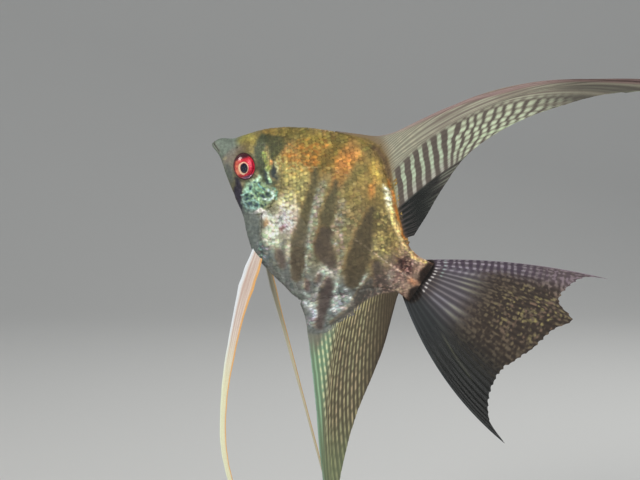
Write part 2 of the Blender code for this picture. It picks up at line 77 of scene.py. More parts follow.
KEEL_BELOW = ((-0.8, 0.1), (20, 0.5), (56, 0.9), (80, 0.9), (92, 1.1))

MOUTH_FRONT, MOUTH_CORNER = (-0.9, 0.9), (2.9, -0.7)
EYE_CENTRE = (13.75, 4.4, -0.1)
EYE_RADII = (4.1, 2.5, 4.95)
EYE_TURN = math.radians(9)
EYE_ROLL = math.radians(38)  # its long way stands nearly upright while the nose is up
EYE_OPENING = (3.8, 4.75)
GILL_EDGE = (
    (19, 16), (22, 12), (26.8, 6), (29.4, 0), (29.6, -6), (28.2, -11),
    (25, -13.6), (22.2, -15.2),
)  # fmt: skip
ANAL_SHEATH = (
    (56.8, -30.2), (58.4, -31.3), (62.8, -34.7), (67.2, -38.9), (70.2, -37.4), (71.6, -34.6), (72.6, -31),
    (75.2, -25.4), (76.8, -19.6), (78.6, -15.4), (81.2, -11.8), (84.6, -8.9),
)  # fmt: skip
DORSAL_SHEATH = (
    (40, 30.6), (46, 32.8), (51, 33), (56, 30.8), (59.8, 27.2), (63.6, 23.3), (67.6, 19),
    (71.6, 14.9), (75.6, 11.2), (79.6, 8.6),
)  # fmt: skip
CHEEK_EDGE = ((19.4, 7.5), (20.4, 2), (20, -3.5), (17.6, -7.6), (13.2, -7.9))


def smooth(points):
    """A cubic curve through (x, y) points, as a function of x."""
    xs, ys = np.array(points, float).T
    slopes = np.gradient(ys, xs)

    def at(x):
        x = np.clip(x, xs[0], xs[-1])
        i = np.clip(np.searchsorted(xs, x) - 1, 0, len(xs) - 2)
        step = xs[i + 1] - xs[i]
        t = (x - xs[i]) / step
        return (
            ys[i] * (1 + 2 * t) * (1 - t) ** 2
            + slopes[i] * step * t * (1 - t) ** 2
            + ys[i + 1] * t * t * (3 - 2 * t)
            + slopes[i + 1] * step * t * t * (t - 1)
        )

    return at


def smooth_path(points):
    """A cubic curve through points, as a function of the share of the way along it."""
    points = np.array(points, float)
    along = np.concatenate([[0], np.cumsum(np.linalg.norm(np.diff(points, axis=0), axis=1))])
    axes = [smooth(list(zip(along / along[-1], column))) for column in points.T]
    return lambda t: np.stack([axis(np.asarray(t, float)) for axis in axes], axis=-1)


def step_up(x, low, high):
    """0 below low and 1 above high, with a smooth rise between."""
    t = np.clip((x - low) / (high - low), 0, 1)
    return t * t * (3 - 2 * t)


def step_down(x, low, high):
    """1 below low and 0 above high."""
    return 1 - step_up(x, low, high)


def bell(x, width):
    """1 at 0, falling off smoothly on both sides."""
    return np.exp(-((x / width) ** 2))


def ticks(a, b, seed):
    """Repeatable random numbers in 0..1 from whole numbers a and b."""
    n = (a.astype(np.int64) * 73856093) ^ (b.astype(np.int64) * 19349663) ^ (seed * 83492791)
    n = ((n ^ (n >> 13)) * 1274126177) & 0x7FFFFFFF
    n = ((n ^ (n >> 15)) * 668265263) & 0x7FFFFFFF
    return ((n >> 8) & 0xFFFF) / 65535.0


def noise(x, y, size, seed):
    """Smooth noise from -1 to 1 with features about as large as size."""
    x, y = x / size, y / size
    i, j = np.floor(x), np.floor(y)
    u, v = x - i, y - j
    u, v = u * u * (3 - 2 * u), v * v * (3 - 2 * v)
    low = ticks(i, j, seed) * (1 - u) + ticks(i + 1, j, seed) * u
    high = ticks(i, j + 1, seed) * (1 - u) + ticks(i + 1, j + 1, seed) * u
    return 2 * (low * (1 - v) + high * v) - 1


def flecks(x, y, size, seed, low, high):
    """Cover from 0 to 1 of random flecks about as large as size: the noise, from low up to high."""
    return step_up(noise(x, y, size, seed), low, high)


def near_line(s, h, path):
    """How far points are from a bent line, the share of the way along it, and the side: 1 to its left."""
    path = np.array(path, float)
    lengths = np.linalg.norm(np.diff(path, axis=0), axis=1)
    starts = np.concatenate([[0], np.cumsum(lengths)])
    best = np.full(np.shape(s), np.inf)
    share, side = np.zeros(np.shape(s)), np.zeros(np.shape(s))
    for (ax, ay), (bx, by), start, length in zip(path[:-1], path[1:], starts, lengths):
        t = np.clip(((s - ax) * (bx - ax) + (h - ay) * (by - ay)) / length**2, 0, 1)
        away = np.hypot(s - ax - t * (bx - ax), h - ay - t * (by - ay))
        nearer = away < best
        best = np.where(nearer, away, best)
        share = np.where(nearer, (start + t * length) / starts[-1], share)
        side = np.where(nearer, np.sign((bx - ax) * (h - ay) - (by - ay) * (s - ax)), side)
    return best, share, side


def to_line(s, h, path):
    return near_line(s, h, path)[:2]


def left_of(s, h, path):
    """How far points are to the left of a bent line, less than 0 to its right."""
    away, _, side = near_line(s, h, path)
    return away * side


def stroke(s, h, path, width, soft=0.6, fade=(0.0, 0.0)):
    """Cover from 0 to 1 of a brush stroke. width is one number or one for each point of the path."""
    away, share = to_line(s, h, path)
    widths = np.broadcast_to(np.array(width, float), (len(path),))
    points = np.array(path, float)
    marks = np.concatenate([[0], np.cumsum(np.linalg.norm(np.diff(points, axis=0), axis=1))])
    half = np.interp(share, marks / marks[-1], widths) / 2
    cover = step_down(away, half - soft, half + soft)
    if fade[0]:
        cover = cover * step_up(share, 0, fade[0])
    if fade[1]:
        cover = cover * step_up(1 - share, 0, fade[1])
    return cover


def patch(s, h, centre, radii, turn=0.0, soft=0.5):
    """Cover from 0 to 1 of a soft oval patch."""
    c, n = math.cos(math.radians(turn)), math.sin(math.radians(turn))
    x, y = s - centre[0], h - centre[1]
    far = np.hypot((x * c + y * n) / radii[0], (y * c - x * n) / radii[1])
    return step_down(far, 1 - soft, 1 + soft)


def eye_reach(s, h, more=0.0):
    """How far out from the eye's middle a point of the side view is: 1 at the opening's rim."""
    x, z = s - EYE_CENTRE[0], h - EYE_CENTRE[2]
    c, n = math.cos(EYE_ROLL), math.sin(EYE_ROLL)
    return np.hypot((x * c + z * n) / (EYE_OPENING[0] + more), (z * c - x * n) / (EYE_OPENING[1] + more))


class Paint:
    """Colours over a set of points, laid on in coats."""

    def __init__(self, shape, colour):
        self.rgb = np.zeros((*shape, 3)) + np.array(colour, float)

    def lay(self, cover, colour):
        cover = np.clip(cover, 0, 1)[..., None]
        self.rgb = self.rgb * (1 - cover) + np.array(colour, float) * cover

    def light(self, factor):
        self.rgb = self.rgb * np.asarray(factor)[..., None]

    def done(self):
        """The colours as the renderer wants them, from 0 to 1."""
        shown = np.clip(self.rgb / 255, 0, 1)
        return np.where(shown <= 0.04045, shown / 12.92, ((shown + 0.055) / 1.055) ** 2.4)


back, belly, widest = smooth(BACK_LINE), smooth(BELLY_LINE), smooth(WIDEST_LINE)
half_width = smooth(HALF_WIDTH)
lens_above, lens_below = smooth(LENS_ABOVE), smooth(LENS_BELOW)
keel_above, keel_below = smooth(KEEL_ABOVE), smooth(KEEL_BELOW)


def posed(x, z):
    c, n = math.cos(NOSE_UP), math.sin(NOSE_UP)
    return x * c + z * n, z * c - x * n


def fish_origin():
    """Where the snout sits in the frame: the rod's top and the tail stalk's middle plane fix it."""
    rod_x, rod_z = posed(*ROD_TOP)
    low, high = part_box("tail_stalk")
    rod_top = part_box("stand_rod")[1].z
    return np.array([-rod_x * MM, (low.y + high.y) / 2, rod_top - rod_z * MM])


ORIGIN = fish_origin()


def to_world(points):
    x, z = posed(points[..., 0], points[..., 2])
    return np.stack([x, points[..., 1], z], axis=-1) * MM + ORIGIN


def add_mesh(name, points, faces, colours=None):
    """An object from fish-frame points, riding on the frame's one body."""
    mesh = bpy.data.meshes.new(name)
    faces = np.asarray(faces)
    sides = faces.shape[1]
    mesh.vertices.add(len(points))
    mesh.vertices.foreach_set("co", to_world(points).astype(np.float32).ravel())
    mesh.loops.add(faces.size)
    mesh.loops.foreach_set("vertex_index", faces.astype(np.int32).ravel())
    mesh.polygons.add(len(faces))
    mesh.polygons.foreach_set("loop_start", np.arange(0, faces.size, sides, dtype=np.int32))
    mesh.update(calc_edges=True)
    mesh.validate()
    if colours is not None:
        layer = mesh.color_attributes.new("marks", "FLOAT_COLOR", "POINT")
        full = np.ones((len(points), 4), np.float32)
        full[:, : colours.shape[1]] = colours
        layer.data.foreach_set("color", full.ravel())
    mesh.shade_smooth()
    obj = bpy.data.objects.new(name, mesh)
    bpy.context.scene.collection.objects.link(obj)
    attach(obj, "root")
    return obj


def grid_faces(n, m, closed=False):
    """Four-sided faces of a grid of n by m points, whose rows are rings where closed."""
    columns = np.arange(m if closed else m - 1)
    i, j = (g.ravel() for g in np.meshgrid(np.arange(n - 1), columns, indexing="ij"))
    a, b = i * m + j, i * m + (j + 1) % m
    return np.stack([a, b, b + m, a + m], 1)


def rim_of(n, m):
    """The points round the rim of a grid of n by m points, in order."""
    out, back_again = np.arange(1, n), np.arange(n - 2, 0, -1)
    far = (n - 1) * m + np.arange(m - 2, -1, -1)
    return np.concatenate([np.arange(m), out * m + m - 1, far, back_again * m])


# ---------------------------------------------------------------- the body's surface
STATION = 0.2
PER_SIDE = 160
CROWN_STEPS, FLANK_STEPS = 6, 201
RIM = 0.35  # how far the rounding of back and belly reaches, in half widths of the keel


class Surface:
    """The body's outer surface as a table over s and the share of the way up from the belly."""

    def __init__(self):
        self.s = np.arange(SNOUT, TAIL_ROOT + STATION / 2, STATION)
        s = self.s[:, None]
        crown = np.linspace(0, math.pi / 2, CROWN_STEPS)[None, :-1]
        turn = np.linspace(0, math.pi, FLANK_STEPS)[None, :]
        top, low, mid = back(s), belly(s), widest(s)
        up, side = np.cos(turn), np.abs(np.sin(turn))
        above = up >= 0
        lens = np.where(above, lens_above(s), lens_below(s))
        keel = np.where(above, keel_above(s), keel_below(s))
        edge = np.where(above, top - RIM * keel, low + RIM * keel)
        h = mid + (edge - mid) * np.abs(up)
        y = keel + (half_width(s) - keel) * side**lens
        rim_a, rim_b = RIM * keel_above(s), RIM * keel_below(s)
        over = keel_above(s) * np.sin(crown), top - rim_a + rim_a * np.cos(crown)
        under = keel_below(s) * np.sin(crown), low + rim_b - rim_b * np.cos(crown)
        y = np.concatenate([over[0], y, under[0][:, ::-1]], axis=1)[:, ::-1]
        h = np.concatenate([over[1], h, under[1][:, ::-1]], axis=1)[:, ::-1]
        run = np.hypot(np.diff(y, axis=1), np.diff(h, axis=1))
        run = np.concatenate([np.zeros((len(s), 1)), np.cumsum(run, axis=1)], axis=1)
        self.length = run[:, -1]
        share = np.linspace(0, 1, PER_SIDE + 1)
        self.y = np.array([np.interp(share, r / r[-1], c) for r, c in zip(run, y)])
        self.h = np.array([np.interp(share, r / r[-1], c) for r, c in zip(run, h)])
        self.middle = np.array([np.interp(m, c, r) for m, c, r in zip(widest(self.s), h, run)])
        points = np.stack([np.broadcast_to(s, self.y.shape), self.y, self.h], axis=-1)
        along = np.gradient(points, axis=0)
        around = np.gradient(points, axis=1)
        normal = np.cross(along, around)
        normal /= np.maximum(np.linalg.norm(normal, axis=-1, keepdims=True), 1e-9)
        self.normal = normal * np.where(normal[:, PER_SIDE // 2, 1] > 0, 1, -1)[:, None, None]

    def look(self, table, i, u, j, v):
        a = table[i, j] * (1 - v) + table[i, j + 1] * v
        b = table[i + 1, j] * (1 - v) + table[i + 1, j + 1] * v
        return a * (1 - u) + b * u

    def at(self, s, share):
        """Points and outward normals on the +y side. A share past the top or belly carries on over it."""
        flip = (share > 1) | (share < 0)
        share = np.where(share > 1, 2 - share, np.abs(share))
        x = np.clip((s - SNOUT) / STATION, 0, len(self.s) - 1.001)
        i = x.astype(int)
        u = (x - i)[..., None]
        x = np.clip(share * PER_SIDE, 0, PER_SIDE - 0.001)
        j = x.astype(int)
        v = (x - j)[..., None]
        y, h = (self.look(t[..., None], i, u, j, v)[..., 0] for t in (self.y, self.h))
        normal = self.look(self.normal, i, u, j, v)
        sign = np.where(flip, -1.0, 1.0)
        points = np.stack([s, y * sign, h], axis=-1)
        normal = normal * np.stack([np.ones_like(sign), sign, np.ones_like(sign)], axis=-1)
        return points, normal / np.linalg.norm(normal, axis=-1, keepdims=True)

    def share_of(self, s, q):
        """The share of the way up the side of a point q millimetres above the widest line."""
        middle, length = np.interp(s, self.s, self.middle), np.interp(s, self.s, self.length)
        return (middle + q) / length


surface = Surface()


def tip_sway(amount, start, reach):
    """How far a fin leans to the side: as the square of the distance from where it starts."""
    return lambda s, h: amount * (np.hypot(s - start[0], h - start[1]) / reach) ** 2


dorsal_sway = tip_sway(-5, (54, 26), 125)
anal_sway = tip_sway(-3, (66, -22), 112)


class Foot:
    """The scaled foot of a fin, which carries the body's side on past the back or the belly."""

    def __init__(self, up, line, sway, thin=0.2, slope=0.09, most=1.5):
        self.up, self.line, self.sway = up, line, sway
        self.thin, self.slope, self.most = thin, slope, most
        self.first, self.last = line[0][0], line[-1][0]
        # At each station, where the body's side comes in to the foot's thickness.
        depth = self.half(surface.s[:, None], surface.h)
        wider = surface.y >= depth
        shares = np.linspace(0, 1, PER_SIDE + 1)
        edge = PER_SIDE - wider[:, ::-1].argmax(axis=1) if up > 0 else wider.argmax(axis=1)
        rows = np.arange(len(surface.s))
        self.edge_q = shares[edge] * surface.length - surface.middle
        self.edge_h = surface.h[rows, edge]
        self.start_q = np.interp(self.first + 0.2, surface.s, self.edge_q)

    def inside(self, s, h):
        """How far a point is within the foot's outer edge, less than 0 beyond it."""
        return -self.up * left_of(s, h, self.line)

    def half(self, s, h):
        """Half the foot's thickness."""
        return np.clip(self.thin + self.slope * self.inside(s, h), self.thin, self.most)

    def beyond(self, s, q):
        """How far a point q up from the widest line is past the body's edge, or -1 where there is no foot."""
        past = self.up * (q - np.interp(s, surface.s, self.edge_q))
        return np.where((s > self.first) & (s < self.last), past, -1.0)

    def crossed(self, s, q):
        """True for scales rooted just ahead of the foot, which would lie half on it."""
        return (s > self.first - 3.3) & (s < self.first + 0.1) & (self.up * (q - self.start_q) > -0.9)

    def carry(self, s, q, side, points, normal):
        """Moves the points that are past the body's edge onto the foot."""
        past = self.beyond(s, q)
        on = (past > 0)[..., None]
        h = np.interp(s, surface.s, self.edge_h) + self.up * past
        out = self.half(s, h) + side * self.sway(s, h)
        flat = np.stack([s, out, h], axis=-1)
        tilt = np.array([0.0, 1.0, self.up * self.slope])
        blend = step_up(past, 0.0, 1.5)[..., None]
        level = normal * (1 - blend) + tilt * blend
        level /= np.linalg.norm(level, axis=-1, keepdims=True)
        return np.where(on, flat, points), np.where(on, level, normal)


DORSAL_FOOT = Foot(1, DORSAL_SHEATH, dorsal_sway, most=1.1)
ANAL_FOOT = Foot(-1, ANAL_SHEATH, anal_sway)
FEET = (DORSAL_FOOT, ANAL_FOOT)


def side_at(s, q, side):
    """Points and outward normals of one side, q up from the widest line, out over the fins' feet.

    They are given on the +y side, and side says which one they are for.
    """
    share = surface.share_of(s, q)
    on_foot = sum(foot.beyond(s, q) > 0 for foot in FEET) > 0
    points, normal = surface.at(s, np.where(on_foot, np.clip(share, 0.02, 0.98), share))
    for foot in FEET:
        points, normal = foot.carry(s, q, side, points, normal)
    return points, normal


# ---------------------------------------------------------------- markings
BARS = (
    # path, width at each point, colour, strength
    (((36.2, 13.6), (37.9, 9.8), (40.1, 3.9), (41.6, -1.2), (43.3, -6.6), (46, -12.6), (49.2, -18.7),
      (51.8, -23.6)), (1.6, 2.8, 3.6, 4, 4.5, 4.9, 5, 3.2), (82, 76, 52), 0.95),
    (((44.6, 13.4), (46.4, 8.5), (48.1, 3), (49.9, -1.3), (51.9, -6), (54, -9.6)),
     (1.6, 3.2, 3.8, 4.4, 5, 5), (82, 76, 54), 0.92),
    (((51.4, -4), (54, -9.2), (57, -11), (60, -12.6)), (5, 6.6, 6.2, 3.4), (78, 68, 58), 0.88),
    (((60.8, 12.5), (62.2, 7.9), (63.8, 2.9), (65.3, -1), (66.9, -5.5), (68.7, -10.4), (70.3, -14.2)),
     (1.6, 4, 6.4, 7.6, 8.2, 8.2, 4.8), (76, 66, 48), 0.97),
    (((41.2, -19), (43.1, -20.9), (45.8, -23.1)), (2.2, 3.2, 2), (92, 80, 72), 0.9),
    (((62.6, -18), (63.7, -20.8), (64.9, -24), (66.2, -27.9), (67.7, -31.3), (69.1, -34.6)),
     (2, 4, 4.4, 3.8, 3.2, 2.4), (76, 64, 60), 0.95),
    (((55.8, -22.8), (57.4, -25.2)), (1.8, 2), (108, 86, 80), 0.85),
    (((76.8, -9.6), (76.4, -14), (76, -18.6), (74.8, -25), (72.6, -31)),
     (5, 5.2, 4.2, 2, 1), (72, 68, 62), 0.9),
    (((58.8, -18.6), (59.2, -20.4)), (2, 1.8), (100, 84, 82), 0.8),
    (((74, -4), (77.6, -6.4), (80.2, -9.2)), (4.2, 5.6, 5.2), (72, 62, 56), 0.88),
)  # fmt: skip
BACK_DARKS = (
    (((37.8, 27.8), (37.5, 19), (36.7, 12.6)), (4.6, 3.8, 2.2), (98, 90, 46), 0.6),
    (((47.6, 29.4), (49.2, 22.4), (48.6, 14.4)), (3.4, 3.6, 2.4), (108, 102, 60), 0.6),
    (((50, 31.6), (54.6, 30.4), (58.6, 27.4), (61.6, 24.8)), (2, 2.8, 2.6, 1.4), (102, 80, 62), 0.7),
)
HEAD_DARKS = (
    (((13.6, 12), (14.6, 8.4), (17.2, 5.2), (19.6, 2.4), (22, 0.2), (24.4, 0.2), (26, 1.6)),
     (3.6, 3.8, 3.4, 2.8, 2.2, 1.8, 1.2), (66, 74, 54), 0.9),
    (((16, 13), (18.8, 13.4), (19.8, 10.8), (20.6, 8.2)), (4, 6.2, 4.8, 2), (62, 66, 42), 0.85),
    (((20, 15.3), (22.7, 18.5), (26.1, 21.1)), (2, 3, 2.6), (104, 98, 56), 0.55),
    (((21.2, 2.9), (22.9, 1.1), (24.1, 0.1)), (1, 1.6, 1), (44, 58, 66), 0.9),
    (((22.2, 5.8), (23.4, 4.4), (24.6, 3.3), (26.1, 3.2)), (0.9, 1.6, 1.4, 0.9), (42, 52, 56), 0.9),
    (((14.4, -5.6), (15.9, -7.9), (17.4, -10.5), (20.1, -13.2), (22.2, -14.7)), (1.8, 2.8, 2.8, 2.2, 1.2),
     (46, 42, 58), 0.9),
    (((8.4, -3.4), (12, -6.4)), (1.6, 2), (96, 104, 104), 0.6),
)  # fmt: skip
CHEEK_SPOTS = (
    ((26.5, -3.9), (1.15, 1)), ((25.1, -5.5), (1.2, 0.6)), ((24.4, -2.9), (0.8, 0.4)),
    ((19.8, -5.2), (0.5, 0.9)), ((22.6, -6.1), (0.5, 0.4)), ((21.9, -7.6), (0.65, 0.6)),
    ((19.8, -8.4), (0.6, 0.55)), ((22.7, -10.4), (0.6, 0.8)), ((24.9, -9.4), (0.7, 0.9)),
    ((27, -8.6), (0.75, 0.6)), ((27.9, -7.3), (0.55, 0.5)), ((20.1, -2.9), (0.5, 0.55)),
    ((21.9, -2.2), (0.55, 0.4)), ((21, -9.6), (0.4, 0.6)), ((23.6, -12.3), (0.6, 0.3)),
)  # fmt: skip
CHEEK_LIGHTS = (
    (((18.2, -7.8), (19, -5.6), (19.8, -3.9), (20.5, -1.6), (20.2, 0)), 1.3, (206, 250, 214)),
    (((20.6, -6.2), (20.8, -4.3), (22.3, -4.4), (24.5, -4.1)), 0.9, (166, 214, 176)),
    (((18.6, -9.8), (19.4, -7.4), (20.6, -6)), 0.8, (176, 224, 206)),
    (((24.2, -2.8), (21.7, -2.9)), 0.7, (130, 190, 190)),
    (((20.8, -7.2), (22.2, -6.9), (23.6, -7.2), (25.4, -7.4)), 0.6, (186, 214, 170)),
    (((25.6, -2.3), (26.9, -1.9), (28.2, -2.7), (28.6, -4.4), (27.4, -5.7), (25.5, -6.5)),
     0.9, (214, 240, 236)),
    (((22.5, -9), (23.5, -8.2), (24.9, -8.4), (25.8, -9.6)), 0.7, (160, 206, 190)),
    (((25, -11), (23.4, -11.4), (22.3, -10.4)), 0.6, (150, 190, 180)),
    (((19.4, -9.4), (20.4, -10.8), (22, -11.9)), 0.6, (140, 170, 170)),
    (((21.4, 3.7), (22.9, 2.5), (24.7, 0.9)), 0.9, (196, 232, 186)),
    (((17.2, 8.2), (18.6, 6.4), (20.2, 4.9), (21.6, 3.6)), 1.5, (146, 158, 84)),
    (((22.5, 7.1), (23.7, 5.9), (24.8, 4.6)), 1, (218, 212, 160)),
    (((20.8, 6.8), (21.3, 5.8)), 0.8, (206, 150, 88)),
    (((26.4, -0.6), (28.2, -1.4), (29.6, -3.6)), 0.7, (126, 178, 160)),
)  # fmt: skip
GOLDS = (
    # centre, radii, turn, colour, strength
    ((28.5, 8.6), (6.6, 5), 0, (164, 152, 90), 0.75),
    ((31.6, 16.4), (6.6, 4.6), -18, (136, 102, 50), 0.8),
    ((26, 12.4), (3, 2), 30, (156, 118, 62), 0.8),
    ((36.4, 20), (4.6, 4.6), 0, (154, 120, 58), 0.75),
    ((29.5, 20.6), (4.8, 2.6), 30, (142, 126, 58), 0.7),
    ((43.6, 21.6), (3.8, 6), 12, (180, 124, 66), 0.95),
    ((46.8, 25.6), (2.6, 3), 20, (222, 156, 84), 0.85),
    ((44.4, 14.6), (2, 3.6), 12, (162, 120, 66), 0.8),
    ((54.6, 24.2), (2.2, 4), 50, (184, 154, 76), 0.95),
    ((57.4, 17.8), (1.4, 3), 25, (206, 138, 70), 0.7),
    ((51.6, 17), (3.4, 7), 14, (150, 130, 76), 0.7),
    ((33, 1.8), (4.6, 6.4), 10, (152, 146, 96), 0.6),
    ((65.4, 11), (5, 4.2), -35, (104, 94, 60), 0.75),
)  # fmt: skip
# Silver grounds; the near-white spots at (29.4, -11.4) and (70.2, -26.5) among them are painted glints.
SILVERS_AND_GLINTS = (
    # centre, radii, turn, colour, strength
    ((35.4, -5), (4.4, 3.4), 10, (226, 220, 198), 0.85),
    ((37.6, -8.6), (4, 4.2), 30, (222, 210, 212), 0.95),
    ((33, -2.4), (3.6, 3), 0, (206, 204, 156), 0.65),
    ((33.4, -12), (2.6, 4.2), 35, (226, 232, 208), 0.85),
    ((36.6, -16.4), (3.4, 4.4), 30, (224, 234, 204), 0.85),
    ((35.2, -23), (4.6, 3.2), -30, (84, 96, 96), 0.85),
    ((29.4, -11.4), (1.3, 1.3), 0, (250, 244, 246), 0.9),
    ((60.2, -15.2), (3.4, 3.4), -20, (184, 190, 176), 0.75),
    ((70.4, -22.4), (3.6, 4.4), 12, (116, 124, 122), 0.8),
    ((65.2, -35), (4.8, 2.2), 60, (136, 148, 148), 0.7),
    ((61.6, -28.6), (2.4, 2.6), 20, (184, 190, 182), 0.75),
    ((70.2, -26.5), (0.9, 0.8), 0, (255, 255, 255), 1),
    ((79.4, -11.2), (1.2, 0.8), 0, (156, 190, 172), 0.7),
    ((80.4, -5.4), (1.5, 3), 20, (190, 184, 176), 0.4),
)  # fmt: skip
SILVER_LINES = (
    # path, widths, colour, strength
    (((34, 2), (36.9, -2.4), (39.6, -8.5), (42.2, -14.5), (45.2, -20)), (1.4, 2.4, 2.8, 2, 1.2),
     (224, 216, 186), 0.75),
    (((41, 10.6), (43.8, 0.9), (45.6, -3.6), (47.6, -7.8), (50.8, -14.2), (54, -19)),
     (2, 3.4, 3.8, 4, 3.8, 2.4), (144, 142, 120), 0.75),
    (((40.4, 8), (42.6, 1.4), (44.4, -3.8), (46.4, -8.4), (49.6, -14.6), (52.6, -19.4)),
     (0.8, 1.4, 1.7, 1.8, 1.8, 1), (184, 200, 192), 0.8),
    (((50.5, 9), (52.8, 3.9), (54.6, -0.5), (57, -4.6), (61, -8), (64.1, -13.6)),
     (2.4, 3.6, 4.4, 4.6, 3, 1.8), (146, 134, 110), 0.75),
    (((57.3, -18.9), (57.8, -16.4), (59.8, -15.1), (61.9, -15.9), (61.8, -18.2), (60.6, -21.6),
      (61.6, -25.4)), 1.2, (212, 212, 206), 0.85),
    (((63.8, -15.6), (65.9, -18), (68, -21.8), (69.6, -25.8)), (1.2, 1.5, 1.6, 1.4),
     (206, 216, 208), 0.85),
    (((69.5, -17.5), (71.4, -17.9), (74, -20.4), (73.8, -23.8), (71, -25.2), (70.1, -22.6)), 1.2,
     (208, 216, 208), 0.8),
    (((72.4, -8.5), (72.8, -11.5), (72.5, -15)), (0.8, 1.5, 1), (206, 220, 204), 0.9),
    (((59.5, -29.8), (62.2, -30.4), (65.1, -31.4), (67.6, -34.8)), (1.6, 2.4, 2.6, 1.6),
     (206, 212, 216), 0.85),
    (((56.2, -20.6), (55, -23.4), (56.4, -26.6), (59.6, -27.6)), 0.9, (188, 198, 186), 0.7),
)  # fmt: skip
BRIGHT_EDGE = (
    (60, 22.2), (62.4, 20.4), (65.4, 17.6), (68.8, 14.4), (72.7, 11.2), (77.4, 8.2), (83, 6.2),
    (88.6, 6.6),
)  # fmt: skip
ORANGE_RIM = ((60.4, 24.6), (63.6, 21.6), (68, 17.5), (73.2, 12.8), (78.4, 9.2), (84, 7.2))
REAR_LINE = ((61.2, -0.2), (70, -0.6), (80, -1.2), (91.4, -1))
FRONT_LINE = ((29, 8.6), (34, 13), (40, 16.6), (47, 17.8), (54, 14.8), (59, 9.8))
CREASE = ((58.5, -29.6), (62, -27.3), (66, -23.2), (70, -19.1), (75, -14.2), (80, -10.4))
TAIL_BLOTS = (((90.9, 3.6), (2, 4.6)), ((91.6, -5.4), (2.5, 3.4)))
GILL_RIM = ((24.2, -13.4), (25.7, -12.9), (26.5, -11.4), (27.4, -10), (28.9, -9.9), (29.6, -8.6))
HEAD_PATCHES = (
    # centre, radii, turn, colour, strength
    ((9.8, 8.8), (4, 2.4), 45, (176, 166, 84), 0.85),
    ((14.4, 13.6), (4, 2.2), 42, (138, 112, 56), 0.75),
    ((22, 20.6), (8, 2.2), 32, (122, 112, 56), 0.6),
    ((11.6, 7.4), (3.4, 2.4), 40, (142, 124, 62), 0.8),
    ((9.8, 3.4), (1.8, 3.6), 0, (126, 110, 84), 0.6),
    ((9.2, -1.9), (2.4, 3), 0, (158, 148, 130), 0.8),
)
STALK_PATCHES = (
    # centre, radii, turn, colour, strength
    ((84, 0), (7, 5), 0, (112, 90, 84), 0.75),
    ((82.8, 1.8), (3.6, 2.4), -10, (52, 32, 30), 0.9),
)
FLANK_SPOTS = (
    # centre, radii, turn, colour, strength
    ((37.2, -11.4), (0.9, 1.3), 0, (128, 84, 76), 0.7),
    ((31.4, -13), (0.9, 1.6), 20, (150, 116, 84), 0.7),
)


def lay_patches(coat, s, h, patches, soft=0.5):
    """Lays on soft oval patches and returns their joint cover."""
    whole = np.zeros(np.shape(s))
    for centre, radii, turn, colour, strength in patches:
        cover = strength * patch(s, h, centre, radii, turn, soft)
        coat.lay(cover, colour)
        whole = np.maximum(whole, cover)
    return whole


def lay_strokes(coat, s, h, strokes, soft, broken=1):
    """Lays on brush strokes and returns their joint cover."""
    whole = np.zeros(np.shape(s))
    for path, widths, colour, strength in strokes:
        cover = strength * stroke(s, h, path, widths, soft) * broken
        coat.lay(cover, colour)
        whole = np.maximum(whole, cover)
    return whole


def head_marks(coat, metal, s, h, ws, wh):
    """The head: smooth grey snout, brown forehead, dark eye bar, and a mint cheek with dark spots."""
    head = step_down(s + 0.25 * h, 13, 19)
    coat.lay(head, (124, 120, 92))
    coat.lay(step_down(s + 0.3 * h, 7, 12.5), (134, 146, 132))
    lay_patches(coat, ws, wh, HEAD_PATCHES)
    cheek = patch(ws, wh, (22.8, -7), (5.4, 6.4), -20, 0.45) * step_up(ws + 0.35 * wh, 14.6, 16.2)
    olive = step_up(ws + 0.6 * wh, 15, 23)
    coat.lay(0.92 * cheek, (118, 154, 130))
    coat.lay(0.7 * cheek * olive, (128, 146, 98))
    coat.lay(0.8 * cheek * patch(ws, wh, (22.4, -12), (4.6, 2.4)), (98, 116, 118))
    metal = (metal * (1 - cheek) + 0.35 * cheek) * (1 - 0.8 * head)
    lay_strokes(coat, ws, wh, HEAD_DARKS, 0.8)
    grit = 0.6 * noise(s, h, 0.8, 11) + 0.5 * noise(s + 0.5 * h, h - 0.5 * s, 0.62, 12)
    coat.lay((0.6 - 0.35 * olive) * cheek * step_up(grit, 0.16, 0.4), (190, 230, 204))
    coat.lay(0.55 * cheek * step_up(-grit, 0.2, 0.42), (58, 80, 78))
    broken = 0.45 + 0.55 * flecks(s, h, 0.7, 18, -0.5, 0.1)
    for path, width, colour in CHEEK_LIGHTS:
        coat.lay(0.95 * stroke(ws, wh, path, width, 0.1 + 0.35 * width) * broken, colour)
    for centre, radii in CHEEK_SPOTS:
        coat.lay(0.7 * patch(ws, wh, centre, radii), (38, 52, 66))
    coat.lay(0.95 * stroke(s, h, GILL_RIM, (0.4, 0.7, 1.3, 1.7, 1.4, 0.8), 0.25), (238, 230, 222))
    breast = patch(s, h, (29.6, -19.6), (9.4, 6.6), -38, 0.2) * step_down(s + 0.5 * h, 21.5, 24.5)
    coat.lay(0.92 * breast, (108, 116, 112))
    coat.lay(0.6 * breast * flecks(s, h, 1.3, 13, 0.3, 0.7), (92, 100, 98))
    # A painted highlight by the mouth's corner.
    coat.lay(0.85 * patch(s, h, (6.2, -1.6), (0.5, 0.9), -20, 0.4), (206, 208, 160))
    coat.lay(0.4 * patch(ws, wh, (7.4, 0.6), (1.6, 4.6), -14), (164, 140, 128))
    lips = (MOUTH_FRONT, MOUTH_CORNER)
    coat.lay(0.35 * stroke(s, h, lips, 1.6, 0.4), (150, 150, 136))
    coat.lay(0.7 * stroke(s, h, lips, 0.35, 0.2), (70, 66, 58))
    coat.lay(0.7 * step_down(np.abs(eye_reach(s, h) - 1), 0.03, 0.1), (58, 44, 40))
    return metal * (1 - 0.85 * breast)


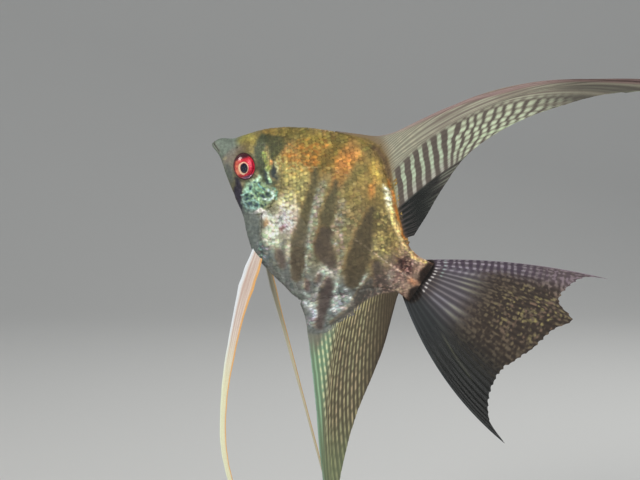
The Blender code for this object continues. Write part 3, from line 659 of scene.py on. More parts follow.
def flank_marks(coat, s, h, ws, wh):
    """The flank's gold and silver grounds, with painted glints on the silver. Returns how metallic they are.
    """
    metal = np.maximum(0.3 + 0.25 * noise(s, h, 4, 9), 0.5 * lay_patches(coat, ws, wh, GOLDS, 0.6))
    veins = step_down(np.abs(noise(s, h, 1.5, 14)), 0.1, 0.32)
    coat.lay(0.55 * veins * patch(s, h, (31, 15.6), (10, 6.6), 40, 0.4), (178, 108, 46))
    silver = 1.05 * lay_patches(coat, ws, wh, SILVERS_AND_GLINTS, 0.6)
    broken = 0.55 + 0.45 * flecks(s, h, 1, 15, -0.5, 0.3)
    silver = np.maximum(silver, lay_strokes(coat, ws, wh, SILVER_LINES, 0.7, broken))
    # Painted glints over the silver: pink and mint flecks, with darker ones between.
    glint = np.clip(1.5 * silver - 0.3, 0, 1)
    coat.lay(0.4 * glint * flecks(s, h, 0.8, 25, 0.2, 0.6), (226, 176, 200))
    coat.lay(0.35 * glint * flecks(s, h, 0.8, 26, 0.25, 0.6), (184, 226, 204))
    coat.lay(0.5 * glint * step_up(-noise(s, h, 0.7, 27), 0.3, 0.6), (130, 116, 108))
    gilt = patch(s, h, (70, 7), (11, 6), -38, 0.4) + patch(s, h, (33, 4), (7, 8), 0, 0.4)
    gold = noise(s, h, 0.75, 28)
    coat.lay(0.5 * gilt * step_up(gold, 0.2, 0.5), (206, 186, 112))
    coat.lay(0.4 * gilt * step_up(-gold, 0.2, 0.5), (84, 76, 50))
    return np.maximum(metal, 0.7 * silver)


def bar_marks(coat, metal, s, h, ws, wh, up):
    """The dark bars of back and flank, with a warm rim. Returns how metallic the body is after them."""
    lay_strokes(coat, ws, wh, BACK_DARKS, 1.2)
    worn = 0.88 + 0.12 * noise(s, h, 1, 29)
    for path, widths, colour, strength in BARS:
        cover = strength * stroke(ws, wh, path, widths, 0.95) * worn
        rim = np.clip(stroke(ws + 0.7, wh, path, widths, 0.6) - cover, 0, 1)
        coat.lay(0.4 * rim, (156, 112, 66))
        coat.lay(cover, colour)
        metal = metal * (1 - 0.8 * cover)
    purple = sum(stroke(ws, wh, BARS[k][0], BARS[k][1], 0.75) for k in (0, 2))
    coat.lay(0.5 * purple * step_down(up, 0.15, 0.5), (88, 74, 66))
    lay_patches(coat, ws, wh, FLANK_SPOTS)
    return metal


def tail_root_marks(coat, s, h, ws, wh):
    """The tail root's two dark blots and a copper spot, and broken bright lines along the flank."""
    for centre, radii in TAIL_BLOTS:
        coat.lay(0.96 * patch(ws, wh, centre, radii, 0, 0.35), (26, 16, 10))
    coat.lay(0.6 * patch(ws, wh, (88.4, -1.6), (2, 1), 0, 0.8), (200, 136, 92))
    strength = 0.3 + 0.45 * step_up(s, 66, 74)
    coat.lay(strength * stroke(s, h, REAR_LINE, 0.4, 0.25) * flecks(s, h, 0.7, 6, -0.1, 0.2), (226, 202, 180))
    coat.lay(0.3 * stroke(s, h, FRONT_LINE, 0.4, 0.3) * flecks(s, h, 0.8, 7, -0.1, 0.2), (214, 204, 160))


def body_marks(s, h):
    """The body's colours, and how metallic it is, at points of the side view."""
    ws = s + 0.4 * noise(s, h, 2.6, 1) + 0.3 * noise(s, h, 1.1, 2)
    wh = h + 0.4 * noise(s, h, 2.6, 3) + 0.3 * noise(s, h, 1.1, 4)
    up = (h - belly(s)) / (back(s) - belly(s))
    coat = Paint(np.shape(s), (128, 118, 84))
    coat.lay(step_up(up, 0.52, 0.9), (138, 116, 66))
    coat.lay(step_down(up, 0.08, 0.4) * step_up(s, 24, 36), (108, 111, 106))
    coat.lay(0.7 * step_up(s, 74, 84), (134, 110, 96))
    lay_patches(coat, ws, wh, STALK_PATCHES)
    coat.lay(0.7 * step_up(s, 84.5, 88), (150, 124, 104))
    metal = flank_marks(coat, s, h, ws, wh)
    metal = bar_marks(coat, metal, s, h, ws, wh, up)
    edge = stroke(ws, wh, BRIGHT_EDGE, (1, 2.4, 2.8, 2.2, 1.6, 1.3, 1.1, 1), 0.6)
    edge = edge * (0.55 + 0.45 * flecks(s, h, 0.9, 16, -0.5, 0.2))
    coat.lay(0.95 * edge, (240, 240, 206))
    coat.lay(0.8 * edge * step_up(s, 63, 70), (214, 172, 92))
    metal = np.maximum(metal, 0.6 * edge)
    coat.lay(0.8 * stroke(ws, wh, ORANGE_RIM, (0.7, 0.9, 1.1, 1, 0.9, 0.6), 0.5), (206, 122, 46))
    specks = 0.5 * step_up(s, 72, 82)
    coat.lay(specks * flecks(s, h, 0.6, 22, 0.15, 0.5), (208, 172, 150))
    coat.lay(specks * flecks(s, h, 0.6, 23, 0.2, 0.5), (88, 68, 64))
    metal = head_marks(coat, metal, s, h, ws, wh)
    tail_root_marks(coat, s, h, ws, wh)
    # The crease between the belly and the anal fin's foot turns away from the light, so it is painted pale.
    coat.lay(0.3 * stroke(s, h, CREASE, 1.2, 0.5) * flecks(s, h, 0.8, 24, -0.6, 0.4), (164, 166, 160))
    metal = np.clip(metal, 0, 1)
    # Random tone all over, with painted sparkle added where the body is metallic.
    tone_and_sparkle = 0.65 * noise(s, h, 0.52, 91) + 0.45 * noise(s, h, 0.95, 92)
    coat.light(1 + (0.14 + 0.4 * metal) * tone_and_sparkle)
    return coat, metal


# ---------------------------------------------------------------- materials
def material(name, roughness=0.4, metallic=0.0, coat=0.0, specular=0.5):
    made = bpy.data.materials.new(name)
    made.use_nodes = True
    shader = made.node_tree.nodes["Principled BSDF"]
    shader.inputs["Roughness"].default_value = roughness
    shader.inputs["Metallic"].default_value = metallic
    shader.inputs["Coat Weight"].default_value = coat
    shader.inputs["Coat Roughness"].default_value = 0.2
    shader.inputs["Specular IOR Level"].default_value = specular
    return made, made.node_tree, shader


def node(tree, kind, values=(), **settings):
    made = tree.nodes.new(kind)
    for key, value in settings.items():
        setattr(made, key, value)
    for key, value in dict(values).items():
        made.inputs[key].default_value = value
    return made


def link(tree, a, b):
    tree.links.new(a, b)


def streaks(tree, mapping, texture):
    """A noise texture in the object's own space, drawn out by a mapping."""
    place = node(tree, "ShaderNodeTexCoord")
    drawn = node(tree, "ShaderNodeMapping", mapping)
    link(tree, place.outputs["Object"], drawn.inputs["Vector"])
    made = node(tree, "ShaderNodeTexNoise", {"Scale": 1.0, **texture})
    link(tree, drawn.outputs["Vector"], made.inputs["Vector"])
    return made.outputs["Fac"]


def grain(tree, scale, detail=4.0):
    """A noise texture in the object's own space."""
    place = node(tree, "ShaderNodeTexCoord")
    texture = node(tree, "ShaderNodeTexNoise", {"Scale": scale, "Detail": detail, "Roughness": 0.6})
    link(tree, place.outputs["Object"], texture.inputs["Vector"])
    return texture.outputs["Fac"]


def spread(tree, value, low, high):
    """Maps 0..1 to low..high."""
    made = node(tree, "ShaderNodeMapRange", {"To Min": low, "To Max": high})
    link(tree, value, made.inputs["Value"])
    return made.outputs["Result"]


def grey_of(tree, value):
    made = node(tree, "ShaderNodeCombineColor")
    for socket in ("Red", "Green", "Blue"):
        link(tree, value, made.inputs[socket])
    return made.outputs["Color"]


def show_marks(tree, shader, fine, deep):
    """Shows the markings, their tone varied by a grain as deep as given. Returns their fourth part."""
    marks = node(tree, "ShaderNodeAttribute", attribute_name="marks", attribute_type="GEOMETRY")
    mix = node(tree, "ShaderNodeMix", {"Factor": 1.0}, data_type="RGBA", blend_type="MULTIPLY")
    first, second, result = 6, 7, 2  # its colour sockets, which share their names with others
    link(tree, marks.outputs["Color"], mix.inputs[first])
    link(tree, grey_of(tree, spread(tree, fine, 1 - deep, 1 + deep)), mix.inputs[second])
    link(tree, mix.outputs[result], shader.inputs["Base Color"])
    return marks.outputs["Alpha"]


def bumped(tree, shader, height, strength, distance):
    made = node(tree, "ShaderNodeBump", {"Strength": strength, "Distance": distance})
    link(tree, height, made.inputs["Height"])
    link(tree, made.outputs["Normal"], shader.inputs["Normal"])


def skin_material():
    """The markings' fourth part is how metallic the skin is."""
    made, tree, shader = material("fish_skin", 0.6, 0.0, 0.0, 0.3)
    metal = show_marks(tree, shader, grain(tree, 2600.0), 0.28)
    link(tree, spread(tree, grain(tree, 1500.0), 0.55, 0.78), shader.inputs["Roughness"])
    link(tree, metal, shader.inputs["Metallic"])
    bumped(tree, shader, grain(tree, 3200.0, 5.0), 0.35, 0.00012)
    return made


def scale_material():
    """The markings' fourth part is how metallic the scales are, and the more so the smoother."""
    made, tree, shader = material("fish_scales", 0.5, 0.0, 0.04, 0.35)
    metal = show_marks(tree, shader, grain(tree, 5200.0), 0.18)
    dull = node(tree, "ShaderNodeMath", operation="MULTIPLY")
    link(tree, spread(tree, metal, 0.66, 0.3), dull.inputs[0])
    link(tree, spread(tree, grain(tree, 2400.0), 0.8, 1.2), dull.inputs[1])
    link(tree, dull.outputs["Value"], shader.inputs["Roughness"])
    link(tree, metal, shader.inputs["Metallic"])
    bumped(tree, shader, grain(tree, 6000.0, 3.0), 0.25, 0.00006)
    return made


# ---------------------------------------------------------------- the skin
def gill_relief(s, h):
    """The gill cover stands proud of the body behind it."""
    path = smooth_path([(x, 0, z) for x, z in GILL_EDGE])(np.linspace(0, 1, 25))[:, [0, 2]]
    away, share = to_line(s, h, path)
    behind = s > np.interp(h, path[::-1, 1], path[::-1, 0])
    ends = step_up(share, 0.02, 0.25) * step_up(1 - share, 0, 0.12) * (0.7 - 0.65 * step_up(h, -6, 8))
    fall = -0.34 * np.exp(-((away / 1.1) ** 1.4))
    rear = fall * step_up(away, 0, 0.22) + 0.16 * step_down(away, 0, 0.22)
    return ends * np.where(behind, rear, 0.16 * bell(away, 2.2))


def relief(points):
    """How far the skin stands out from its plain form: orbit, mouth, nostril, cheek and gill folds."""
    s, h = points[..., 0], points[..., 2]
    socket = eye_reach(s, h)
    rise = -2 * step_down(socket, 0.9, 1)
    rise += 0.22 * bell(socket - 1.09, 0.07)
    rise -= 0.1 * bell(socket - 1.26, 0.08)
    away, share = to_line(s, h, (MOUTH_FRONT, (1.2, -0.1), MOUTH_CORNER))
    depth = 1 - 0.6 * share
    rise -= 0.42 * depth * bell(away, 0.17)
    rise += 0.16 * depth * bell(away - 0.5, 0.28)
    # The folds behind the mouth's corner and across the snout.
    fold, share = to_line(s, h, ((3, -0.6), (4.4, -1), (5, -2)))
    rise -= 0.14 * (1 - share) * bell(fold, 0.28)
    fold, _ = to_line(s, h, ((1.8, 3.9), (3.3, 2.4), (4, 0.6), (3.9, -0.6)))
    rise -= 0.1 * bell(fold, 0.3)
    nostril = np.hypot((s - 7.7) / 0.42, (h - 4.1) / 0.36)
    rise -= 0.5 * step_down(nostril, 0.55, 1.05)
    rise += 0.1 * bell(nostril - 1.35, 0.3)
    away, share = to_line(s, h, CHEEK_EDGE)
    rise -= 0.14 * bell(away, 0.3) * step_up(share, 0, 0.15) * step_up(1 - share, 0, 0.15)
    rise += gill_relief(s, h)
    # Sunk fields between the skull's ridges, and the breast's soft hollow.
    rise -= 0.18 * patch(s, h, (9.4, 1.6), (2.6, 1.6), -10, 0.6)
    rise -= 0.2 * patch(s, h, (26.2, -16), (2.4, 1), -30, 0.6)
    rise += 0.05 * noise(s, h, 1.6, 21) * step_up(s, 2, 6)
    return rise


HEAD_STATION, BODY_STATION, HEAD_END = 0.2, 0.36, 30
SKIN_PER_SIDE = 130
MAP_EDGE, MAP_END = 0.02, 0.005  # where the skin's sides and its ends' middle points lie on the baking map
SKIN_SHADE = 0.82  # what shows of it between the scales lies in their shade


def build_skin():
    near = np.arange(SNOUT, HEAD_END, HEAD_STATION)
    far = np.arange(HEAD_END, TAIL_ROOT, BODY_STATION)
    stations = np.concatenate([near, far, [TAIL_ROOT]])
    s, share = np.meshgrid(stations, np.linspace(0, 1, SKIN_PER_SIDE + 1), indexing="ij")
    right, normal = surface.at(s, share)
    right = right + normal * (relief(right) - COAT)[..., None]
    left = right[:, ::-1][:, 1:-1] * (1, -1, 1)
    ring = np.concatenate([right, left], axis=1)
    rows, count = ring.shape[:2]
    points = ring.reshape(-1, 3)
    along = MAP_EDGE + (1 - 2 * MAP_EDGE) * (stations - SNOUT) / (TAIL_ROOT - SNOUT)
    i, j = (g.ravel()[:, None] for g in np.meshgrid(np.arange(rows - 1), np.arange(count), indexing="ij"))
    sheet = np.stack([along[i + np.array([[0, 0, 1, 1]])], (j + np.array([[0, 1, 1, 0]])) / count], axis=-1)
    faces, maps = [grid_faces(rows, count, closed=True)], [sheet]
    # Each end is closed around a middle point, with a face for every two edges.
    k = np.arange(0, count, 2)
    round_it = np.stack([k, k + 1, k + 2, k + 1], axis=1) / count
    first, last = (0, MAP_EDGE, MAP_END, -1), ((rows - 1) * count, 1 - MAP_EDGE, 1 - MAP_END, 1)
    for start, edge, deep, turn in (first, last):
        middle = np.full_like(k, len(points))
        points = np.concatenate([points, points[start : start + count].mean(axis=0)[None]])
        cap = np.stack([start + k, start + (k + 1) % count, start + (k + 2) % count, middle], axis=1)
        uv = np.stack([np.broadcast_to([edge, edge, edge, deep], cap.shape), round_it], axis=-1)
        faces.append(cap[:, ::turn])
        maps.append(uv[:, ::turn])
    coat, metal = body_marks(points[:, 0], points[:, 2])
    coat.light(SKIN_SHADE)
    colours = np.concatenate([coat.done(), (0.7 * metal)[:, None]], axis=1)
    skin = add_mesh("skin", points, np.concatenate(faces), colours)
    skin.data.materials.append(skin_material())
    set_uv(skin, np.concatenate(maps).reshape(-1, 2))
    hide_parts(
        "head", "upper_jaw", "lower_jaw", "gill_cover_left", "gill_cover_right", "trunk", "tail_stalk"
    )


def set_uv(obj, corners):
    """A map for baking, from a place for every corner of every face in order."""
    layer = obj.data.uv_layers.new(name="OFBake")
    layer.data.foreach_set("uv", np.clip(corners, 0.001, 0.999).astype(np.float32).ravel())


# ---------------------------------------------------------------- scales
ROW = 1.22
SCALE_PITCH = smooth(((2, 1), (22, 1.3), (30, 1.6), (36, 1.74), (60, 1.74), (78, 1.5), (92, 1.25)))
ROW_SHARE = smooth(((2, 0.6), (22, 0.8), (32, 0.95), (40, 1), (60, 1), (76, 0.82), (92, 0.62)))
FINE_PITCH = smooth(((2, 0.7), (14, 0.8), (22, 0.95), (30, 1), (46, 1.2)))
FINE_SHARE = smooth(((2, 0.42), (14, 0.5), (22, 0.58), (30, 0.6), (46, 0.7)))
SCALE_ROWS = (
    # share of the length, pull of the sides, share of the width
    (0, 0, 0.5), (0.24, 0.02, 0.84), (0.5, 0.07, 1), (0.74, 0.16, 1), (0.9, 0.22, 0.9), (1, 0.26, 0.7),
)  # fmt: skip
ACROSS = np.linspace(-1, 1, 7)
SCALE_LENGTH = 1.9  # in pitches
SCALE_HALF = 1.18  # in rows
SCALE_RISE = 0.085  # lift for each pitch along a scale
MOST_TRIANGLES = 190000  # in one piece of scales
MAP_LENGTH = 94  # of the body along the baking map
MOST_ROWS = 70  # above and below the widest line
BARE_STALK = 1.9  # the scales stop short of the tail's root
NAPE = 16  # height of the gill cover's upper end
LEAST_SHARE, MOST_SHARE = -0.6, 1.25  # the baking map runs on over the fins' feet


def breast_zone(s, h):
    return (s + 0.62 * h < 20.6) & (h < -11.5)


def gill_edge_s(h):
    path = np.array(GILL_EDGE)
    order = np.argsort(path[:, 1])
    return np.interp(h, path[order, 1], path[order, 0])


def lattice(pitch, share_of_row, first, last):
    """Roots of scales, with their share of the way up the side and their height in the side view.

    Alternate rows are half a scale apart.
    """
    step = 0.05
    fine = np.arange(SNOUT, TAIL_ROOT + 4, step)
    column = np.cumsum(step / pitch(fine))
    rows = np.arange(-MOST_ROWS, MOST_ROWS + 1)
    places = np.arange(0, int(column[-1]))
    k, j = (grid.ravel() for grid in np.meshgrid(rows, places, indexing="ij"))
    s = np.interp(j + 0.5 * (k % 2), column, fine)
    q = k * ROW * share_of_row(s)
    share = surface.share_of(s, q)
    h = side_at(s, q, 1)[0][:, 2]
    past = [foot.beyond(s, q) > 0 for foot in FEET]
    within = [(foot.inside(s, h) > 0.6) & (s > foot.first + 1.4) for foot in FEET]
    on_foot = (past[0] & within[0]) | (past[1] & within[1])
    on_body = (share > 0.004) & (share < 0.996) & ~past[0] & ~past[1]
    crossed = FEET[0].crossed(s, q) | FEET[1].crossed(s, q)
    keep = (s > first) & (s < last) & (on_body | on_foot) & ~crossed
    return s[keep], q[keep], share[keep], h[keep]


def scale_sets():
    """The roots of the two sorts of scale on one side: large on the body, small on the head and breast."""
    s, q, share, h = lattice(SCALE_PITCH, ROW_SHARE, 15.0, TAIL_ROOT - BARE_STALK)
    body = (s > gill_edge_s(h) - 0.5) & ~breast_zone(s - 0.4, h)
    body &= (h < NAPE) | (s > 19.0 + 0.4 * (h - NAPE))
    yield "body", SCALE_PITCH, ROW_SHARE, s[body], q[body], share[body]
    s, q, share, h = lattice(FINE_PITCH, FINE_SHARE, 6.0, 47.0)
    off_eye = eye_reach(s + 0.6, h, 1.0) > 1
    ahead = s < gill_edge_s(h) - 1.7 + 1.5 * step_up(h, 2.0, 8.0)
    ahead &= (h < NAPE) | (s < 18.0 + 0.4 * (h - NAPE))
    face = ahead & (s + 0.28 * h > 13.0) & off_eye & (h > -15.0)
    nape = ahead & (s + 0.28 * h > 11.0) & (h > 8.5)
    fine = face | nape | breast_zone(s, h)
    yield "fine", FINE_PITCH, FINE_SHARE, s[fine], q[fine], share[fine]


def scale_grid():
    along = np.array([[row[0] - row[1] * v * v for v in ACROSS] for row in SCALE_ROWS])
    across = np.array([[row[2] * v for v in ACROSS] for row in SCALE_ROWS])
    return along.ravel(), across.ravel()


def scale_faces():
    """The underside's fan comes first and the top's grid last, as triangles."""
    rows, cols = len(SCALE_ROWS), len(ACROSS)
    edge = rim_of(rows, cols)
    fan = np.stack([edge, np.full_like(edge, rows * cols), np.roll(edge, -1)], 1)
    grid = grid_faces(rows, cols)
    top = np.stack([grid[:, [0, 3, 2]], grid[:, [0, 2, 1]]], 1).reshape(-1, 3)
    return np.concatenate([fan, top])


def scale_points(pitch, share_of_row, s0, q0, side, seed):
    """Vertices of every scale, (scales, points, 3), with their place on the scale."""
    a, b = scale_grid()
    a, b = np.append(a, 0.45), np.append(b, 0.0)
    length = SCALE_LENGTH * pitch(s0)[:, None]
    size = ROW * share_of_row(s0)[:, None]
    number = np.arange(len(s0))
    rnd = [ticks(number, np.full(len(s0), 7), seed + n)[:, None] * 2 - 1 for n in range(6)]
    grow = 1 + 0.05 * rnd[0]
    s = s0[:, None] + a * length * grow + 0.04 * size * rnd[1]
    q = (q0[:, None] + b * size * SCALE_HALF * grow) * share_of_row(s) / share_of_row(s0)[:, None]
    points, normal = side_at(np.minimum(s, TAIL_ROOT - 0.05), q, side)
    dome = 0.055 * (1 - b * b) * np.sin(np.pi * np.clip(a, 0, 1) ** 0.8)
    lift = -0.15 + SCALE_RISE * a * SCALE_LENGTH + dome * size
    lift = lift + size * (0.03 * rnd[2] * a + 0.05 * rnd[3] * b)
    lift[:, -1] -= 0.1
    lift = np.where((a > 0.98) & (np.arange(len(a)) < len(a) - 1), lift - 0.012, lift)
    points = points + normal * (lift + relief(points) * 0.9)[..., None]
    points[..., 1] *= side
    return points, a, b, rnd


def scale_colours(points, a, b, rnd, sort):
    """Each scale keeps the body's markings, with a painted highlight on its middle, painted shade on its rim,
    painted glitter on some, and its own tone.
    """
    s, h = points[..., 0], points[..., 2]
    coat, metal = body_marks(s, h)
    # Painted light: each scale's middle is lightened as a highlight and its rim darkened as shade, the more
    # where it is metallic.
    middle = bell(b, 0.5) * bell(a - 0.78, 0.24)
    rim = step_up(np.abs(b), 0.55, 0.95) + step_up(a, 0.93, 1)
    shoulder = 0.3 * patch(s, h, (33, 2), (10, 13), 10)
    painted_contrast = (0.28 if sort == "body" else 0.12) * np.clip(0.1 + metal + shoulder, 0, 1)
    # Painted glitter: a bright glint on the middles of some metallic scales, picked at random.
    painted_glitter = step_up(rnd[5], 0.5, 0.95) * np.clip(metal - 0.2, 0, 1)
    tone = 0.98 + 0.14 * rnd[4] * (0.35 + metal) + 0.4 * painted_glitter * middle
    coat.light(tone * (1 + 1.2 * painted_contrast * middle - 0.7 * painted_contrast * np.clip(rim, 0, 1)))
    coat.rgb = coat.rgb * (1 + 0.09 * metal[..., None] * np.stack([rnd[0], 0.5 * rnd[2], rnd[3]], axis=-1))
    return np.concatenate([coat.done(), (0.85 * metal)[..., None]], axis=-1)


def scale_map(s0, share, a, b, base):
    """Places of the scales on the baking map: each root's place on the body, spread out along the scale."""
    up = (share - LEAST_SHARE) / (MOST_SHARE - LEAST_SHARE)
    root = np.stack([0.02 + 0.95 * (s0 - SNOUT) / MAP_LENGTH, base + 0.46 * up], axis=-1)
    return root[:, None, :] + np.stack([(a - 0.5) * 0.003, b * 0.0015], axis=-1)


def build_scales():
    faces = scale_faces()
    made = scale_material()
    limit = MOST_TRIANGLES // len(faces)
    for sort, pitch, share_of_row, s0, q0, share in scale_sets():
        for side, word, base in ((-1, "left", 0.02), (1, "right", 0.52)):
            order = np.argsort(s0, kind="stable")
            facing = faces[:, ::side]
            for number, group in enumerate(np.array_split(order, -(-len(order) // limit))):
                points, a, b, rnd = scale_points(pitch, share_of_row, s0[group], q0[group], side, 31 + side)
                colours = scale_colours(points, a, b, rnd, sort)
                index = (np.arange(len(group)) * len(a))[:, None, None] + facing
                name = f"scales_{sort}_{word}_{number + 1}"
                obj = add_mesh(name, points.reshape(-1, 3), index.reshape(-1, 3), colours.reshape(-1, 4))
                obj.data.materials.append(made)
                uv = scale_map(s0[group], share[group], a, b, base)
                set_uv(obj, uv[:, facing.ravel()].reshape(-1, 2))


# ---------------------------------------------------------------- fins
DORSAL_RAYS = (
    # foot, tip, and how far the ray's middle bows out; the same for the anal and the tail fin
    (33, 24, 34.6, 28.9, 0), (38.5, 26, 42.5, 32.7, 0.2), (43, 27, 48.6, 36, 0.5),
    (47, 27, 54.4, 42.6, 1), (50, 27, 61.8, 54.8, 1.8), (52.5, 26, 72, 68.6, 3.8),
    (54.5, 25, 96, 91.8, 8.8), (56, 24, 140, 117, 15.2), (58.5, 21.5, 112, 96.4, 12.6),
    (61, 18.5, 96.6, 79.8, 7.5), (63.5, 15.5, 86.6, 65.4, 3.5), (66, 12.6, 79.8, 49, 1.2),
    (68.5, 10, 78.8, 33.6, 0.2), (71.5, 8, 79.4, 21.4, 0), (74.5, 6.8, 79.6, 12.6, 0),
)  # fmt: skip
ANAL_RAYS = (
    (57.6, -27, 58.6, -31.6, 0), (59.5, -26.5, 63, -35, 0), (61.5, -25, 67.8, -40.4, 0.3),
    (63.5, -24, 75, -49, 1), (65.5, -22, 85.8, -62.2, 2), (67, -20.5, 99.6, -79.4, 3.6),
    (68.6, -19, 131, -113, 7.5), (71, -16.5, 111, -86, 5), (73.5, -14.5, 103, -68.4, 3),
    (76, -12, 98.4, -53.6, 1.6), (78.5, -10, 95.8, -40.6, 0.8), (81, -8, 93.2, -28.6, 0.2),
    (83.5, -6.5, 89.6, -17.6, 0), (86, -5.5, 87, -10, 0),
)  # fmt: skip
TAIL_RAYS = (
    (86, 6, 148.5, 38.8, 2.4), (86.5, 5.6, 141, 34.6, 2.1), (87, 4.8, 137.6, 28, 1.7),
    (87, 3.8, 138, 21.4, 1.4), (87, 2.8, 145.6, 18.8, 1), (87, 1.6, 142, 12, 0.6),
    (87, 0.4, 140.2, 4.2, 0.2), (87, -0.8, 137.8, -3, -0.2), (87, -2, 135, -10, -0.8),
    (87, -3.2, 134.8, -16.6, -1.4), (87, -4.6, 137.4, -24, -2.2), (86.5, -5.6, 142.4, -30.2, -3.4),
    (86, -6.6, 152, -34.2, -5),
)  # fmt: skip
FIN_HALF, FIN_ROOT_HALF, SHEATH = 0.13, 1.15, 9
TAIL_SWAY = (-2.5, 6)
TAIL_REACH, TAIL_HALF = 60, 36
LEFT_PELVIC = (
    (34.8, -2.4, -23), (38.9, -3.8, -38.5), (45.4, -5.6, -56.5), (54.4, -7.4, -76),
    (64.6, -8.4, -91.4), (76.6, -8.6, -102.6), (92, -8, -112),
)  # fmt: skip
RIGHT_PELVIC = (
    (36.4, 2.4, -22), (46, 4.6, -31.4), (62.4, 8, -46.4), (81, 11, -63.2),
    (100, 13, -80.4), (119, 14, -97.4),
)  # fmt: skip
# Share of the length and half width, here and for the pectoral fins.
PELVIC_BLADE = ((0, 2.2), (0.08, 2.8), (0.22, 2.2), (0.45, 1.35), (0.75, 0.95), (1, 0.3))
PECTORAL_ROOT = (30.4, 6.5, -6.4)
PECTORAL_LENGTH = 21
PECTORAL_SPREAD, PECTORAL_DROOP = math.radians(26), math.radians(14)
PECTORAL_HALF_WIDTH = (
    (0, 1.5), (0.15, 2.6), (0.35, 4.2), (0.55, 5.2), (0.72, 5.2), (0.86, 4.4), (0.95, 3.3), (1, 2),
)  # fmt: skip
PECTORAL_BEND, PECTORAL_CUP = 1.6, 0.45


def fin_rays(guides, per_guide, along, lead):
    """Points of a fin's middle surface: (rays, steps, 2), each ray a curve from foot to tip."""
    guides = np.array(guides, float)
    numbers = np.arange(len(guides))
    fine = np.linspace(0, len(guides) - 1, per_guide * (len(guides) - 1) + 1)
    columns = [smooth(list(zip(numbers, guides[:, k])))(fine) for k in range(5)]
    foot, tip = np.stack(columns[:2], 1), np.stack(columns[2:4], 1)
    chord = tip - foot
    length = np.linalg.norm(chord, axis=1, keepdims=True)
    aside = np.stack([-chord[:, 1], chord[:, 0]], 1) / length
    middle = (foot + tip) / 2 + 2 * lead * columns[4][:, None] * aside
    t = np.linspace(0, 1, along)[None, :, None]
    rays = (1 - t) ** 2 * foot[:, None] + 2 * t * (1 - t) * middle[:, None] + t * t * tip[:, None]
    return fine, rays


def tail_sway(s, h):
    upper, lower = TAIL_SWAY
    out = np.clip((s - 91.0) / TAIL_REACH, 0, None) ** 1.6
    height = np.clip(h / TAIL_HALF, -1, 1)
    share = 0.5 + 0.5 * height
    return out * (upper * share + lower * (1 - share) * (0.4 + 0.6 * np.abs(height)))


def two_layers(n, m):
    """Faces of a closed sheet: a grid of n by m points twice, joined round the rim."""
    grid, rim = grid_faces(n, m), rim_of(n, m)
    after = np.roll(rim, -1)
    joint = np.stack([rim, n * m + rim, n * m + after, after], 1)
    return np.concatenate([grid[:, [0, 3, 2, 1]], grid + n * m, joint])


def ridges(phase):
    """1 on a ray and 0 between rays."""
    return bell(np.abs(phase - np.round(phase)), 0.2)


def build_fin(name, guides, lead, per_guide, steps, per, sway, colour, foot, split):
    """A fin with raised rays that fork outwards, a thin web between them, and a ragged edge.

    lead is 1 for rays that bend towards the back and -1 towards the belly. per_guide is how many rows of
    points there are for each guide, steps how many points for each row, and per how many rays for each
    guide. split is the share of the way out at which the rays start to fork.
    """
    number, rays = fin_rays(guides, per_guide, steps, lead)
    n, m = rays.shape[:2]
    t = np.broadcast_to(np.linspace(0, 1, m)[None], (n, m))
    phase = np.broadcast_to((number * per)[:, None], (n, m))
    fork = step_up(t, split, split + 0.25)
    ray = ridges(phase) * (1 - fork) + ridges(2 * phase + 0.5) * fork
    # Webs fall a little short of the rays' tips.
    rim = phase[:, 0]
    notch = (0.003 + 0.014 * ticks(np.round(2 * rim), rim * 0, 5)) * (1 - ridges(2 * rim + 0.5))
    root = rays[:, :1]
    rays = root + (rays - root) * (1 - notch[:, None] * t**6)[..., None]
    s, h = rays[..., 0], rays[..., 1]
    gone = np.linalg.norm(np.diff(rays, axis=1), axis=2)
    distance = np.concatenate([np.zeros((n, 1)), np.cumsum(gone, axis=1)], axis=1)
    flesh = np.clip(1 - distance / SHEATH, 0, 1) ** 1.5
    half = FIN_HALF * (1 - 0.45 * t) + (FIN_ROOT_HALF - 0.12 - FIN_HALF) * flesh
    within = foot.inside(s, h) if foot else np.full((n, m), -9.0)
    bare = step_down(within, -0.5, 1.0)
    half = half + 0.13 * ray * (1 - 0.7 * t) * (1 - flesh) * bare
    if foot:
        half = np.maximum(half, np.where(within > 0, foot.half(s, h) - COAT / 2, 0))
    wave = 0.35 * np.sin(number * 0.9)[:, None] * (distance / 60.0) ** 2 * step_up(t, 0.1, 0.5)
    aside = sway(s, h) + wave
    points = np.concatenate([np.stack([s, aside + sign * half, h], -1).reshape(-1, 3) for sign in (-1, 1)])
    number = np.broadcast_to(number[:, None], (n, m))
    # The leading edge runs along the tips, from the first ray to the farthest one. The tail has none.
    tips = np.array(guides)[:, 2:4]
    farthest = int(np.argmax(np.abs(tips[:, 1]) + tips[:, 0]))
    leading_edge = rays[: farthest * per_guide + 1 : 3, -1]
    sheet = types.SimpleNamespace(
        number=number, distance=distance, s=s, h=h, ray=ray, rank=np.round(phase), phase=phase,
        within=within, edge=(1 - t) * distance[:, -1:], front=to_line(s, h, leading_edge)[0],
    )  # fmt: skip
    colours = np.tile(colour(sheet).reshape(-1, 4), (2, 1))
    faces = two_layers(n, m)
    return add_mesh(name, points, faces if lead > 0 else faces[:, ::-1], colours)


def dashes(fin, period, seed, gap):
    """The rays broken into dashes: the cover from 0 to 1, and a random number for each dash."""
    place = fin.distance / period + ticks(fin.rank, fin.rank * 0, seed)
    cell = np.floor(place)
    inside = place - cell
    chance = ticks(fin.rank, cell, seed + 1)
    gap = gap * (0.6 + 0.8 * chance)
    return step_up(inside, 0.0, 0.12) * step_down(inside, 0.88 - gap, 1 - gap), chance


def on_foot(coat, fin):
    """Carries the body's markings on over a fin's scaled foot."""
    cover = step_up(fin.within, -0.7, 0.5)[..., None]
    body, _ = body_marks(fin.s, fin.h)
    coat.rgb = coat.rgb * (1 - cover) + 0.9 * body.rgb * cover


